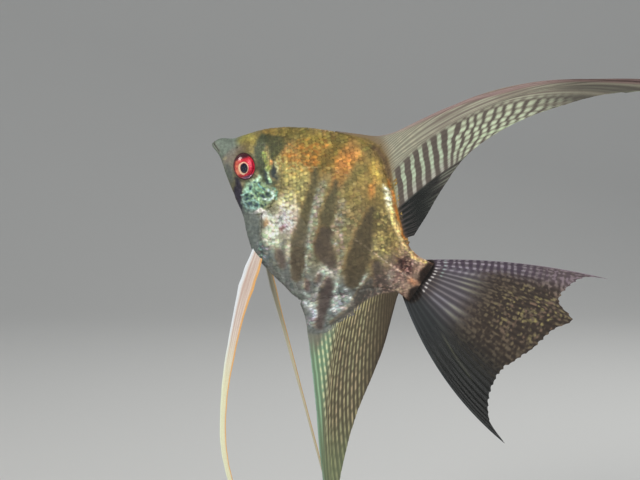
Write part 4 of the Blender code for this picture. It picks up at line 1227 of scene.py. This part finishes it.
def fin_material(name, roughness=0.5, coat=0.03):
    """The markings' fourth part is how solid the web is."""
    made, tree, shader = material(name, roughness, 0.0, coat, 0.25)
    solid = show_marks(tree, shader, grain(tree, 2200.0), 0.14)
    rough = spread(tree, grain(tree, 1200.0), roughness - 0.08, roughness + 0.12)
    link(tree, rough, shader.inputs["Roughness"])
    link(tree, solid, shader.inputs["Alpha"])
    bumped(tree, shader, grain(tree, 2600.0), 0.2, 0.00008)
    return made


def rgba(coat, alpha):
    """The coat's colours with the web's solidity as their fourth part."""
    return np.concatenate([coat.done(), np.clip(alpha, 0, 1)[..., None]], axis=-1)


DORSAL_LIMIT = (
    (69.9, 20.6), (72.4, 28.8), (74.5, 35.4), (77.6, 42.6), (80, 49), (86.2, 63.6), (96.4, 78.8),
    (111.8, 95.6),
)  # fmt: skip
FRINGE = ((75.3, 46.6), (80.2, 56.6), (86.6, 65.6), (96.4, 79), (111.6, 95.8), (139, 116.6))
BAR_START, BAR_STEP = 67.1, 3.63


def dorsal_bars(coat, fin, along, ahead):
    """Pale bars across the front rays, ragged and slanting further out, on a darker ground."""
    s, h, ray, number = fin.s, fin.h, fin.ray, fin.number
    far = step_up(along, 82, 92)
    barred = ahead * step_up(number, 8, 8.5)
    shift = (ticks(fin.rank, fin.rank * 0, 43) - 0.5) * (0.12 + 0.55 * far)
    lean = 3.2 * far * (number - 9)
    place = (along + lean - BAR_START) / BAR_STEP + shift + 0.07 * noise(s, h, 3, 48)
    wave = np.cos(2 * np.pi * (place + 0.35 * far * noise(s, h, 9, 44)))
    fade = step_down(along, 126, 148)
    bars = step_up(wave, 0.15 - 0.7 * far, 0.6 - 0.4 * far) * barred * fade * step_up(along, 62, 62.8)
    bars = bars * (1 - 0.4 * ray * step_down(along, 64.6, 65.4))
    bars = bars * (0.72 + 0.28 * flecks(s, h, 0.9, 46, -0.6, 0.2))
    coat.lay(0.8 * (1 - bars) * barred * step_up(along, 62, 65) * fade, (76, 66, 62))
    dull = step_up(number, 10, 11.4) + step_down(number, 8.4, 9.2)
    web = 0.35 * (1 - ray) * (1 - far) + 0.9 * (1 - np.sqrt(ridges(fin.phase))) * far
    coat.lay(0.95 * bars * (1 - web) * (1 - 0.4 * dull), (188, 208, 178))
    coat.lay(0.4 * bars * step_up(number, 10, 11.2) * (1 - far), (168, 150, 160))
    coat.lay(0.4 * bars * (1 - web) * far, (226, 234, 196))
    return barred


def dorsal_colour(fin):
    """Grey-green rays, pale bars, a black rear part with a pale fringe, and a brown tip and foot."""
    s, h, ray, number, distance = fin.s, fin.h, fin.ray, fin.number, fin.distance
    gap = 1 - ray
    coat = Paint(s.shape, (152, 152, 130))
    coat.lay(0.6 * ray, (190, 190, 166))
    coat.lay(0.5 * gap, (112, 104, 94))
    cover, chance = dashes(fin, 4.2, 45, 0.4)
    coat.lay(0.6 * cover * ray * step_up(chance, 0.3, 0.5), (196, 186, 160))
    along = 0.75 * s + 0.66 * h
    ahead = step_up(left_of(s, h, DORSAL_LIMIT), -0.3, 0.4)
    barred = dorsal_bars(coat, fin, along, ahead)
    rear = (1 - ahead) * step_up(number, 9, 9.6)
    coat.lay(0.98 * rear, (16, 20, 18))
    coat.lay(0.5 * rear * ray * step_down(distance, 8, 15), (122, 104, 104))
    coat.lay(0.2 * rear * ray, (76, 74, 76))
    outer = step_up(along, 112, 140)
    coat.lay(0.85 * outer, (70, 66, 60))
    coat.lay(0.35 * outer * step_up(np.cos(2 * np.pi * number * 1.6), 0, 0.7), (170, 162, 140))
    # Pale wisps run along the forked rays outside the bars, with a dim web between them.
    twigs = ridges(2 * fin.phase + 0.5)
    free = (1 - barred) * step_up(along, 70, 84)
    broken = flecks(along / 6, 2 * fin.phase, 1, 49, -0.4, 0.2)
    coat.lay((0.65 - 0.5 * outer) * twigs * free * broken, (204, 212, 184))
    coat.lay(0.5 * (1 - twigs) * free * (1 - outer), (106, 88, 86))
    fringe = stroke(s, h, FRINGE, (0.4, 0.6, 0.8, 0.9, 0.8, 0.5), 0.3)
    coat.lay(0.6 * fringe * flecks(s, h, 1.4, 47, -0.3, 0.3), (184, 204, 164))
    coat.lay(0.5 * step_down(fin.front, 0.5, 1.3) * step_up(along, 60, 84), (124, 88, 90))
    coat.lay(0.5 * step_down(fin.front, 0.25, 0.6) * (1 - outer), (168, 146, 142))
    coat.lay(0.6 * step_down(s, 44, 54), (96, 88, 84))
    coat.lay(0.85 * step_up(fin.within, -4.6, -0.6) * step_down(along, 60, 66), (126, 106, 78))
    coat.lay(0.6 * step_up(fin.within, -1.8, -0.2) * step_up(along, 63, 66), (98, 74, 70))
    on_foot(coat, fin)
    return rgba(coat, 0.98 - 0.16 * rear * gap * step_up(distance, 6, 12))


ANAL_TRAIL = ((69.1, -34.6), (71.6, -40), (74.6, -46))
LEAD_LINE = 1.6  # from one to the next of the lines beside the anal fin's leading edge


def anal_lead(coat, fin):
    """Green lines beside the leading edge, with pale beads on them, and a grey foot."""
    lead = step_down(fin.number, 5.4, 6.8)
    lines = ridges(fin.front / LEAD_LINE)
    line = np.round(fin.front / LEAD_LINE)
    place = fin.distance / 3.4 + ticks(line, line * 0, 57) + 0.2 * noise(fin.s, fin.h, 3, 58)
    beads = lines * step_up(np.cos(2 * np.pi * place), -0.5, 0.1) * step_up(fin.front, 1.8, 3.4)
    coat.lay(0.85 * lead, (112, 142, 112))
    coat.lay(0.8 * lead * lines, (168, 204, 164))
    coat.lay(0.95 * beads * step_down(fin.number, 6.2, 7.6) * step_up(fin.distance, 7, 12), (228, 226, 178))
    near = lead * step_down(fin.distance + 2.2 * fin.number, 20, 34)
    coat.lay(0.75 * near, (110, 106, 94))
    coat.lay(0.5 * near * fin.ray, (150, 146, 134))


def anal_colour(fin):
    """Olive rays broken into pale dashes, beaded lines in front, and a brown rear part."""
    s, h, ray, number, distance, within = fin.s, fin.h, fin.ray, fin.number, fin.distance, fin.within
    gap = 1 - ray
    coat = Paint(s.shape, (96, 90, 70))
    coat.lay(0.6 * ray, (134, 126, 96))
    coat.lay(0.6 * gap, (70, 64, 50))
    rear = step_up(number, 8.6, 11.6)
    low = step_up(distance, 44, 70)
    cover, chance = dashes(fin, 5, 51, 0.16)
    cover = cover * ray**1.5 * (1 - 0.65 * rear) * step_up(number, 6, 7.2)
    cover = cover * (0.45 + 0.55 * flecks(s, h, 1.1, 53, -0.4, 0.3))
    coat.lay(0.95 * cover, (206, 194, 148))
    coat.lay(0.5 * cover * step_up(chance, 0.6, 0.7), (196, 164, 136))
    coat.lay(0.5 * cover * step_down(chance, 0.3, 0.4), (160, 166, 128))
    first = step_up(within, -3.2, -1.6) * step_down(within, -0.7, 0.1) * ray
    coat.lay(0.75 * first * (1 - rear) * step_up(number, 4.5, 5.5), (214, 202, 146))
    anal_lead(coat, fin)
    coat.lay(0.6 * low, (112, 128, 94))
    coat.lay(0.35 * low * ray * cover, (164, 166, 112))
    coat.lay(0.75 * rear, (62, 52, 40))
    coat.lay(0.6 * rear * step_down(fin.edge, 1, 5), (48, 40, 34))
    coat.lay(0.35 * step_down(fin.front, 0.2, 0.7), (140, 170, 172))
    coat.lay(0.45 * stroke(s, h, ANAL_TRAIL, (2.4, 1.8, 0.8), 0.8, (0, 0.6)), (98, 84, 72))
    coat.lay(0.6 * step_up(within, -5, -0.5) * step_down(number, 3.4, 5.2), (118, 118, 106))
    on_foot(coat, fin)
    return rgba(coat, 0.98 - 0.12 * gap * step_up(distance, 14, 30))


TAIL_LINE = ((106, -11), (117.6, -16.6), (129, -21))


def tail_upper(coat, fin):
    """Mauve bands across the upper rays. Returns the cover of the plain part beyond them."""
    number, distance = fin.number, fin.distance
    upper = step_down(number, 2.2, 3.8)
    out = step_down(distance, 34, 54)
    twig = np.round(2 * fin.phase)
    wander = 0.5 * noise(distance, number * 2.5, 3, 66) + 0.55 * (ticks(twig, twig * 0, 64) - 0.5)
    bands = step_up(np.cos(2 * np.pi * distance / 2.6 + 0.5 * number + 3.4 * wander), -0.4, 0.5)
    coat.lay(0.7 * upper * bands * (0.35 + 0.65 * fin.ray) * (0.3 + 0.7 * out), (182, 172, 190))
    coat.lay(0.7 * upper * (1 - bands), (70, 58, 74))
    coat.lay(0.5 * upper * (1 - out), (100, 86, 84))
    return upper * (1 - out)


def tail_middle(coat, fin, luck, beyond, twirl):
    """Grey streaks on the middle rays, then a brown field with scribbles, gold in one place.

    luck is a random number for each ray, beyond the upper rays' plain part and twirl the scribbles' noise.
    """
    s, h, ray, number, distance = fin.s, fin.h, fin.ray, fin.number, fin.distance
    middle = step_up(number, 1.6, 2.8) * step_down(number, 8.6, 10.4)
    streak = middle * step_up(distance, 7.5, 12) * step_down(distance, 17 + 6 * luck, 27 + 7 * luck)
    strength = (0.4 + 0.25 * step_up(number, 4.5, 6.5)) * (0.5 + 0.5 * luck)
    coat.lay(strength * streak * np.sqrt(ray), (158, 158, 172))
    coat.lay(0.3 * streak * (1 - ray), (92, 90, 100))
    coat.lay(0.3 * streak * ray * step_up(distance, 15, 20) * step_up(luck, 0.5, 0.6), (176, 182, 128))
    outer = step_up(distance, 18, 32) * middle
    coat.lay(0.8 * outer, (58, 47, 37))
    scribble = step_up(twirl, 0, 0.4)
    chance = 0.5 + 0.5 * noise(distance / 1.1, 4 * fin.phase, 1, 69)
    cover = outer * scribble
    coat.lay(0.7 * beyond * scribble, (150, 134, 142))
    gold = patch(s, h, (132, 12), (13, 10), 35, 0.6)
    coat.lay(0.65 * cover, (118, 106, 88))
    coat.lay(0.7 * cover * gold * step_up(chance, 0.5, 0.7), (170, 158, 100))
    coat.lay(0.55 * cover * gold * step_down(chance, 0.25, 0.45), (142, 110, 92))
    coat.lay(0.4 * outer * step_up(-twirl, 0.1, 0.5), (52, 46, 43))
    coat.lay(0.55 * outer * ridges(2 * fin.phase), (42, 36, 34))


def tail_colour(fin):
    """Mauve-banded upper rays, a scribbled middle, black lower rays under painted shade that deepens down the
    lower lobe, and a dark foot edged with pearls.
    """
    s, h, ray, number, distance = fin.s, fin.h, fin.ray, fin.number, fin.distance
    gap = 1 - ray
    coat = Paint(s.shape, (84, 77, 76))
    coat.lay(0.5 * ray, (124, 112, 106))
    coat.lay(0.6 * gap, (50, 44, 48))
    luck = ticks(fin.rank, fin.rank * 0, 65)
    twirl = noise(distance / 0.75, 5.2 * fin.phase, 1, 67) + 0.4 * noise(distance, 4 * fin.phase, 1, 68)
    beyond = tail_upper(coat, fin)
    tail_middle(coat, fin, luck, beyond, twirl)
    low = step_up(number, 7, 10)
    coat.lay(0.92 * low, (20, 22, 21))
    coat.lay(0.3 * low * ray, (70, 72, 69))
    coat.lay(0.45 * low * step_down(distance, 14, 34), (66, 70, 74))
    # Painted shade: the lower lobe darkens to nearly black towards its bottom and its outer part.
    coat.lay(0.85 * step_up(-h, 10, 30) * step_up(distance, 20, 50), (8, 10, 8))
    coat.lay(0.4 * stroke(s, h, TAIL_LINE, 0.5, 0.3, (0.2, 0.2)), (140, 138, 104))
    coat.lay(0.4 * step_up(number, 11.5, 11.9), (84, 92, 100))
    coat.lay(0.96 * step_down(distance, 4.4, 6), (20, 12, 8))
    start = 5.6 + 0.8 * luck
    pearls = ray * step_up(distance, start, start + 0.3) * step_down(distance, start + 1, start + 1.4)
    coat.lay(0.9 * pearls * step_up(number, 1.5, 3) * step_down(number, 9.4, 10.2), (232, 228, 224))
    pearls = ray * step_up(distance, 9, 9.4) * step_down(distance, 9.8, 10.4)
    coat.lay(0.6 * pearls * step_down(number, 4, 5), (176, 206, 196))
    for centre, radii in TAIL_BLOTS:
        coat.lay(0.96 * patch(s, h, centre, radii, 0, 0.3), (20, 12, 8))
    coat.lay(0.6 * step_down(number, 0.12, 0.35), (176, 166, 178))
    return rgba(coat, 0.98 - 0.25 * low * gap * step_up(distance, 10, 30))


FINS = (
    # name, CAD piece, rays, bend, rows for each guide, steps, rays for each guide, sway, colour, foot, fork
    ("dorsal_fin_rays", "dorsal_fin", DORSAL_RAYS, 1, 14, 200, 2.8,
     dorsal_sway, dorsal_colour, DORSAL_FOOT, 0.45),
    ("anal_fin_rays", "anal_fin", ANAL_RAYS, -1, 16, 200, 3.6, anal_sway, anal_colour, ANAL_FOOT, 1.1),
    ("tail_fin_rays", "tail_fin", TAIL_RAYS, 1, 16, 150, 1.45, tail_sway, tail_colour, None, 0.45),
)  # fmt: skip


def build_fins():
    made = fin_material("fin_membrane")
    for name, cad, guides, lead, per_guide, steps, per, sway, colour, foot, split in FINS:
        obj = build_fin(name, guides, lead, per_guide, steps, per, sway, colour, foot, split)
        obj.data.materials.append(made)
        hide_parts(cad)


PELVIC_RAYS = 5


def pelvic_ray(u):
    """1 on a ray and 0 between rays."""
    return np.cos(np.pi * PELVIC_RAYS * (u + 1)) * 0.5 + 0.5


def left_pelvic_coat(t, u, streak):
    """Pinkish, with a white front edge and an orange rear one."""
    coat = Paint(t.shape, (206, 192, 180))
    coat.lay(0.5 * step_up(streak, 0, 0.5), (226, 216, 206))
    coat.lay(0.4 * step_up(-streak, 0.1, 0.6), (178, 140, 128))
    coat.lay(0.5 * (1 - pelvic_ray(u)) * step_down(t, 0.3, 0.6), (188, 158, 146))
    coat.lay(0.85 * step_up(-u, 0.4, 0.85), (224, 234, 240))
    coat.lay(0.85 * step_up(u, 0.5, 0.9), (228, 166, 92))
    coat.lay(0.7 * step_up(t, 0.25, 0.5) * step_down(u, 0.4, 0.9), (226, 230, 186))
    coat.lay(0.6 * step_up(t, 0.75, 1), (176, 176, 140))
    return coat


def right_pelvic_coat(t, u, streak):
    """Olive grey at the root, then cream, with an orange rear edge."""
    coat = Paint(t.shape, (128, 122, 100))
    pale = step_up(t, 0.12, 0.4)
    coat.lay(0.85 * pale, (216, 208, 176))
    coat.lay(0.5 * step_up(streak, 0, 0.5) * (1 - pale), (150, 146, 120))
    coat.lay(0.8 * step_up(-u, 0.35, 0.8), (204, 206, 196))
    coat.lay(0.8 * step_up(u, 0.7, 0.95), (212, 160, 98))
    coat.lay(0.4 * step_up(t, 0.8, 1), (150, 138, 110))
    return coat


PELVICS = (
    ("pelvic_fin_left", LEFT_PELVIC, 0, left_pelvic_coat),
    ("pelvic_fin_right", RIGHT_PELVIC, math.radians(64), right_pelvic_coat),
)
PELVIC_HALF, PELVIC_THINNING = 0.2, 0.07


def build_pelvics():
    """The two long feelers: blades along a curve, each turned about it."""
    made = fin_material("pelvic_fin_finish", 0.3)
    blade = smooth(PELVIC_BLADE)
    t, u = np.linspace(0, 1, 170), np.linspace(-1, 1, 41)
    tt, uu = np.meshgrid(t, u, indexing="ij")
    width = blade(tt) * (1 + 0.06 * noise(tt * 30, uu * 0 + 3, 1.0, 71))
    half = (PELVIC_HALF - PELVIC_THINNING * tt) * np.sqrt(np.clip(1 - (uu * 0.98) ** 4, 0, 1))
    half = half + 0.05 * pelvic_ray(uu) * (1 - uu**2)
    faces = two_layers(len(t), len(u))
    for cad, line, turn, coat_of in PELVICS:
        path = smooth_path(line)
        run = path(np.minimum(t + 0.01, 1)) - path(np.maximum(t - 0.01, 0))
        level = np.stack([-run[:, 2], 0 * t, run[:, 0]], -1) / np.hypot(run[:, 0], run[:, 2])[:, None]
        out = np.cross(run / np.linalg.norm(run, axis=1, keepdims=True), level)
        across = (level * math.cos(turn) + out * math.sin(turn))[:, None]
        through = (out * math.cos(turn) - level * math.sin(turn))[:, None]
        middle = path(t)[:, None] + across * (uu * width)[..., None]
        layers = [(middle + sign * half[..., None] * through).reshape(-1, 3) for sign in (1, -1)]
        coat = coat_of(tt, uu, noise(uu * 4.0, tt * 6.0, 0.7, 73))
        flat = rgba(coat, np.ones(tt.shape)).reshape(-1, 4)
        obj = add_mesh(f"{cad}_rays", np.concatenate(layers), faces, np.tile(flat, (2, 1)))
        obj.data.materials.append(made)
        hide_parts(cad)


def flank_y(s, h):
    """How far the body's surface is from the middle plane at a point of the side view."""
    above = h >= widest(s)
    edge = np.where(above, back(s), belly(s))
    lens = np.where(above, lens_above(s), lens_below(s))
    keel = np.where(above, keel_above(s), keel_below(s))
    up = np.minimum(np.abs((h - widest(s)) / (edge - widest(s))), 1.0)
    return keel + (half_width(s) - keel) * np.sqrt(1 - up * up) ** lens


PECTORAL_CLEAR = 0.42  # the least way from the flank to the fin's middle


def build_pectorals():
    """The two clear fans that lie along the flanks, bent in towards them but never into them."""
    made = fin_material("pectoral_finish", 0.45, 0.0)
    wide = smooth(PECTORAL_HALF_WIDTH)
    t, u = np.meshgrid(np.linspace(0, 1, 60), np.linspace(-1, 1, 97), indexing="ij")
    phase = (u + 1) * 6.0
    fork = step_up(t, 0.45, 0.7)
    forked = ridges(2 * phase + 0.5)
    ray = ridges(phase) * (1 - fork) + forked * fork
    reach = PECTORAL_LENGTH * t * (1 - 0.16 * u * u * t) * (1 - 0.012 * (1 - forked) * t**6)
    bend = PECTORAL_BEND * t * t + PECTORAL_CUP * (u * u - 1) * t
    half = 0.1 * (1 - 0.4 * t) + 0.3 * step_down(t, 0, 0.18) + 0.09 * ray * (1 - 0.6 * t)
    coat = Paint(t.shape, (150, 148, 124))
    coat.lay(0.4 * ray, (176, 172, 146))
    flat = rgba(coat, 0.03 + 0.1 * ray * (1 - 0.5 * t) + 0.3 * step_down(t, 0.02, 0.16)).reshape(-1, 4)
    faces = two_layers(*t.shape)
    down = np.array([0.0, 0.0, 1.0])
    for side, word in ((-1, "left"), (1, "right")):
        out = np.array([math.cos(PECTORAL_SPREAD), side * math.sin(PECTORAL_SPREAD), 0.0])
        along = out * math.cos(PECTORAL_DROOP) - down * math.sin(PECTORAL_DROOP)
        over = out * math.sin(PECTORAL_DROOP) + down * math.cos(PECTORAL_DROOP)
        root = np.array(PECTORAL_ROOT) * (1, side, 1)
        middle = root + along * reach[..., None] + over * (u * wide(t))[..., None]
        middle[..., 1] -= side * bend
        clear = flank_y(middle[..., 0], middle[..., 2]) + PECTORAL_CLEAR
        middle[..., 1] = side * np.maximum(side * middle[..., 1], clear)
        thick = np.cross(along, over) * half[..., None]
        points = np.concatenate([(middle + v * thick).reshape(-1, 3) for v in (-1, 1)])
        obj = add_mesh(f"pectoral_fin_{word}_rays", points, faces, np.tile(flat, (2, 1)))
        obj.data.materials.append(made)
        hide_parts(f"pectoral_fin_{word}")


# ---------------------------------------------------------------- eyes
def eye_points(side, polar, turn, out=0.0):
    """Points on an eye: polar is the angle from the middle of its outer face, turn goes round it."""
    c, n = math.cos(EYE_ROLL), math.sin(EYE_ROLL)
    short, tall = EYE_RADII[0] * np.sin(polar) * np.cos(turn), EYE_RADII[2] * np.sin(polar) * np.sin(turn)
    x, z = short * c - tall * n, short * n + tall * c
    y = side * (EYE_RADII[1] * np.cos(polar) + out)
    c, n = math.cos(side * EYE_TURN), math.sin(side * EYE_TURN)
    eye_x, eye_y, eye_z = EYE_CENTRE
    return np.stack([eye_x + x * c + y * n, side * eye_y - x * n + y * c, eye_z + z], -1)


def iris_material():
    """The markings' fourth part is how metallic the iris is."""
    made, tree, shader = material("eye_iris", 0.3, 0.0, 0.25)
    fibres = grain(tree, 3800.0, 5.0)
    metal = show_marks(tree, shader, fibres, 0.22)
    link(tree, spread(tree, fibres, 0.14, 0.32), shader.inputs["Roughness"])
    link(tree, metal, shader.inputs["Metallic"])
    bumped(tree, shader, fibres, 0.3, 0.00008)
    return made


def cornea_material():
    made, tree, shader = material("eye_cornea", 0.03, 0.0, 0.6)
    shader.inputs["Base Color"].default_value = (0.02, 0.02, 0.025, 1)
    shader.inputs["Alpha"].default_value = 0.06
    link(tree, spread(tree, grain(tree, 900.0), 0.02, 0.05), shader.inputs["Roughness"])
    bumped(tree, shader, grain(tree, 500.0), 0.03, 0.00005)
    return made


def eye_look(polar, turn):
    """The eyeball's colours and how far its parts stand out: a dark pupil in a pale ring on a red iris.

    The pupil is a little ahead of the middle.
    """
    # x is towards the rear and z is up while the nose is up.
    x = EYE_RADII[0] * np.sin(polar) * np.cos(turn)
    z = EYE_RADII[2] * np.sin(polar) * np.sin(turn)
    far = np.hypot((x + 0.4) / 1.3, (z + 0.3) / 1.75)  # 1 at the pupil's edge
    front = step_up(-x, 0.6, 2.6) * step_down(np.abs(z), 2.4, 3.6)
    coat = Paint(far.shape, (226, 42, 60))
    coat.lay(0.9 * step_up(x, 0.6, 2.2) * step_down(z, 1.6, 3.4), (255, 52, 88))
    coat.lay(0.85 * front, (232, 150, 108))
    coat.lay(0.6 * front * step_up(-x, 3, 3.7), (196, 92, 60))
    coat.lay(0.35 * flecks(turn * 3 + 0 * x, far, 0.6, 81, 0.1, 0.5), (170, 26, 40))
    coat.lay(0.9 * step_up(z - 0.2 * x, 2.6, 3.8), (62, 26, 34))
    # A painted reflection: bluish grey along the iris's lower rim.
    coat.lay(0.8 * step_up(-z + 0.2 * x, 2.9, 3.9), (134, 128, 156))
    coat.lay(0.7 * step_up(-z, 2.2, 3.2) * step_up(-x, 0.4, 2), (150, 46, 40))
    coat.lay(0.7 * step_up(polar, 1.02, 1.12), (74, 34, 40))
    wider = 0.11 * step_up(-x - 0.3 * z, 0.6, 1.8)
    coat.lay(0.95 * step_down(np.abs(far - 1.18 - wider), 0.07 + wider, 0.17 + wider), (248, 216, 178))
    pupil = step_down(far, 0.98, 1.06)
    coat.lay(pupil, (14, 13, 36))
    out = -0.42 * step_down(polar, 0.95, 1.1) * step_up(far, 1, 1.1) + 0.05 * pupil
    return np.concatenate([coat.done(), (0.15 * (1 - pupil))[..., None]], -1), out


EYE_AROUND = 128
CORNEA_REACH, CORNEA_OUT = 1.35, 0.06


def build_eyes():
    iris, clear = iris_material(), cornea_material()
    turn = np.linspace(0, 2 * np.pi, EYE_AROUND, endpoint=False)[None]
    open_part, hidden_part = np.linspace(0.0, 1.15, 70), np.linspace(1.18, math.pi, 26)
    ball_polar = np.concatenate([open_part, hidden_part])[:, None] + 0 * turn
    cornea_polar = np.linspace(0.0, CORNEA_REACH, 44)[:, None] + 0 * turn
    colours, out = eye_look(ball_polar, turn)
    for side, word in ((-1, "left"), (1, "right")):
        ball_faces, cornea_faces = (
            grid_faces(*polar.shape, closed=True)[:, ::side] for polar in (ball_polar, cornea_polar)
        )
        points = eye_points(side, ball_polar, turn, out)
        ball = add_mesh(f"eye_{word}_ball", points.reshape(-1, 3), ball_faces, colours.reshape(-1, 4))
        ball.data.materials.append(iris)
        points = eye_points(side, cornea_polar, turn, CORNEA_OUT)
        cornea = add_mesh(f"eye_{word}_cornea", points.reshape(-1, 3), cornea_faces)
        cornea.data.materials.append(clear)
        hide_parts(f"eye_{word}")


# ---------------------------------------------------------------- the stand
def turned(name, profile, around):
    """A solid turned about the stand's axis from (radius, height) points in millimetres."""
    turns = np.linspace(0, 2 * np.pi, around, endpoint=False)
    points = [(0, 0, profile[0][1])]
    points += [(r * math.cos(a), r * math.sin(a), z) for r, z in profile for a in turns]
    points.append((0, 0, profile[-1][1]))
    last = 1 + (len(profile) - 1) * around
    faces = [(0, 1 + (k + 1) % around, 1 + k) for k in range(around)]
    faces += (1 + grid_faces(len(profile), around, closed=True)).tolist()
    faces += [(last + k, last + (k + 1) % around, len(points) - 1) for k in range(around)]
    mesh = bpy.data.meshes.new(name)
    mesh.from_pydata((np.array(points) * MM).tolist(), [], faces)
    mesh.shade_smooth()
    mesh.set_sharp_from_angle(angle=math.radians(38))
    obj = bpy.data.objects.new(name, mesh)
    bpy.context.scene.collection.objects.link(obj)
    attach(obj, "root")
    return obj


def arc(radius, height, r, start, stop, steps=7):
    """Points of a rounded edge, as (radius, height) from angle start to stop in degrees."""
    angles = np.radians(np.linspace(start, stop, steps))
    return [(radius + r * math.cos(a), height + r * math.sin(a)) for a in angles]


def wood_material():
    made, tree, shader = material("stand_wood", 0.4, 0.0, 0.25)
    mapping = {"Scale": (18.0, 150.0, 150.0), "Rotation": (0.0, 0.0, 0.5)}
    rings = streaks(tree, mapping, {"Detail": 8.0, "Roughness": 0.65, "Distortion": 0.9})
    tones = node(tree, "ShaderNodeValToRGB")
    for k, position, colour in ((0, 0.3, (0.022, 0.011, 0.006, 1)), (1, 0.72, (0.105, 0.052, 0.026, 1))):
        tones.color_ramp.elements[k].color = colour
        tones.color_ramp.elements[k].position = position
    link(tree, rings, tones.inputs["Fac"])
    link(tree, tones.outputs["Color"], shader.inputs["Base Color"])
    link(tree, spread(tree, rings, 0.3, 0.5), shader.inputs["Roughness"])
    bumped(tree, shader, rings, 0.25, 0.0002)
    return made


def steel_material():
    made, tree, shader = material("stand_steel", 0.3, 1.0)
    shader.inputs["Base Color"].default_value = (0.62, 0.62, 0.63, 1)
    lines = streaks(tree, {"Scale": (300.0, 300.0, 9000.0)}, {"Detail": 3.0})
    link(tree, spread(tree, lines, 0.2, 0.42), shader.inputs["Roughness"])
    bumped(tree, shader, lines, 0.2, 0.00003)
    return made


def base_profile(edge, top):
    """The wooden base: a rounded foot, a narrow neck, a rounded shoulder and a groove round the top."""
    return [
        (edge - 1.4, 0.0), (edge - 0.6, 0.15), *arc(edge - 0.8, 1.1, 0.8, -60, 90, 8),
        (edge - 1.5, 2.1), (edge - 1.5, 2.5), (edge - 0.5, 2.8), *arc(edge - 2.6, top - 2.6, 2.6, 0, 90, 14),
        (edge - 5.2, top), (edge - 5.5, top - 0.4), (edge - 6.1, top - 0.4), (edge - 6.4, top),
        (8.0, top), (2.0, top),
    ]  # fmt: skip


def collar_profile(r, low, top):
    """The steel collar, which goes a little way into the base."""
    return [
        (r - 0.2, low), (r, low + 0.2), (r, low + 1.6), *arc(r - 0.5, low + 1.7, 0.5, 0, 70, 5),
        (3.0, top - 0.8), (2.6, top - 0.2), (2.2, top), (1.3, top),
    ]  # fmt: skip


def build_stand():
    wood, steel = wood_material(), steel_material()
    _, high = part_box("stand_base")
    base = turned("stand_base_wood", base_profile(high.x / MM, high.z / MM), 128)
    base.data.materials.append(wood)
    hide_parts("stand_base")
    low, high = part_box("stand_collar")
    collar = turned("stand_collar_steel", collar_profile(high.x / MM, low.z / MM - 0.3, high.z / MM), 64)
    collar.data.materials.append(steel)
    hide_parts("stand_collar")
    low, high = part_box("stand_rod")
    r, top = high.x / MM, high.z / MM
    rod = turned("stand_rod_steel", [(r, low.z / MM), (r, top - 0.3), (r - 0.3, top)], 48)
    rod.data.materials.append(steel)
    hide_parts("stand_rod")


# ---------------------------------------------------------------- the studio
AIM = (-4.8 * MM, -2.8 * MM, 147.5 * MM)
DISTANCE, RISE = 0.653, math.radians(5)
LIGHTS = (
    # name, place, aim, watts, size, tint
    ("key", (-0.45, -0.75, 0.72), (0, 0, 0.14), 7.2, 0.35, (1, 0.98, 0.94)),
    ("fill", (0.7, -0.7, 0.3), (0, 0, 0.12), 2.8, 0.6, (0.94, 0.97, 1)),
    ("rim", (0.35, 0.55, 0.75), (0, 0, 0.15), 3, 0.4, (1, 1, 1)),
)
FLOOR_FRONT, FLOOR_REAR, FLOOR_TOP, FLOOR_HALF, FLOOR_BEND = -2.4, 0.9, 2.8, 3, 0.8


def build_floor():
    """A sheet of paper that bends up behind the model."""
    bend = [(math.sin(a), 1 - math.cos(a)) for a in np.linspace(0.08, math.pi / 2, 20)]
    sweep = [(FLOOR_FRONT, 0.0), (FLOOR_REAR, 0.0)]
    sweep += [(FLOOR_REAR + FLOOR_BEND * y, FLOOR_BEND * z) for y, z in bend]
    sweep += [(FLOOR_REAR + FLOOR_BEND, FLOOR_TOP)]
    points = [(x, y, z) for y, z in sweep for x in (-FLOOR_HALF, FLOOR_HALF)]
    faces = [(2 * i, 2 * i + 1, 2 * i + 3, 2 * i + 2) for i in range(len(sweep) - 1)]
    mesh = bpy.data.meshes.new("floor")
    mesh.from_pydata(points, [], faces)
    mesh.shade_smooth()
    floor = bpy.data.objects.new("floor", mesh)
    bpy.context.scene.collection.objects.link(floor)
    paper, _, shader = material("studio_paper", 0.8)
    shader.inputs["Base Color"].default_value = (0.64, 0.64, 0.62, 1)
    mesh.materials.append(paper)


def build_studio():
    """The floor, the room's light, three lamps and the camera at the photo's place."""
    build_floor()
    scene = bpy.context.scene
    scene.world = bpy.data.worlds.new("studio")
    scene.world.use_nodes = True
    background = scene.world.node_tree.nodes["Background"]
    background.inputs["Color"].default_value = (0.92, 0.95, 1.0, 1)
    background.inputs["Strength"].default_value = 0.32
    for name, place, aim, power, size, tint in LIGHTS:
        light = bpy.data.lights.new(name, "AREA")
        light.energy, light.size, light.color = power, size, tint
        obj = bpy.data.objects.new(name, light)
        obj.location = place
        obj.rotation_euler = pointing(place, aim)
        scene.collection.objects.link(obj)
    camera = bpy.data.cameras.new("camera")
    camera.lens, camera.sensor_width = 100.0, 36.0
    obj = bpy.data.objects.new("camera", camera)
    obj.location = (AIM[0], AIM[1] - DISTANCE * math.cos(RISE), AIM[2] + DISTANCE * math.sin(RISE))
    obj.rotation_euler = pointing(obj.location, AIM)
    scene.collection.objects.link(obj)
    scene.camera = obj
    scene.view_settings.view_transform = "Standard"


def pointing(place, aim):
    """Turn for a camera or light at place that looks at aim."""
    x, y, z = (b - a for a, b in zip(place, aim))
    return math.atan2(math.hypot(x, y), -z), 0.0, math.atan2(y, x) - math.pi / 2


build_skin()
build_scales()
build_fins()
build_pelvics()
build_pectorals()
build_eyes()
build_stand()
build_studio()
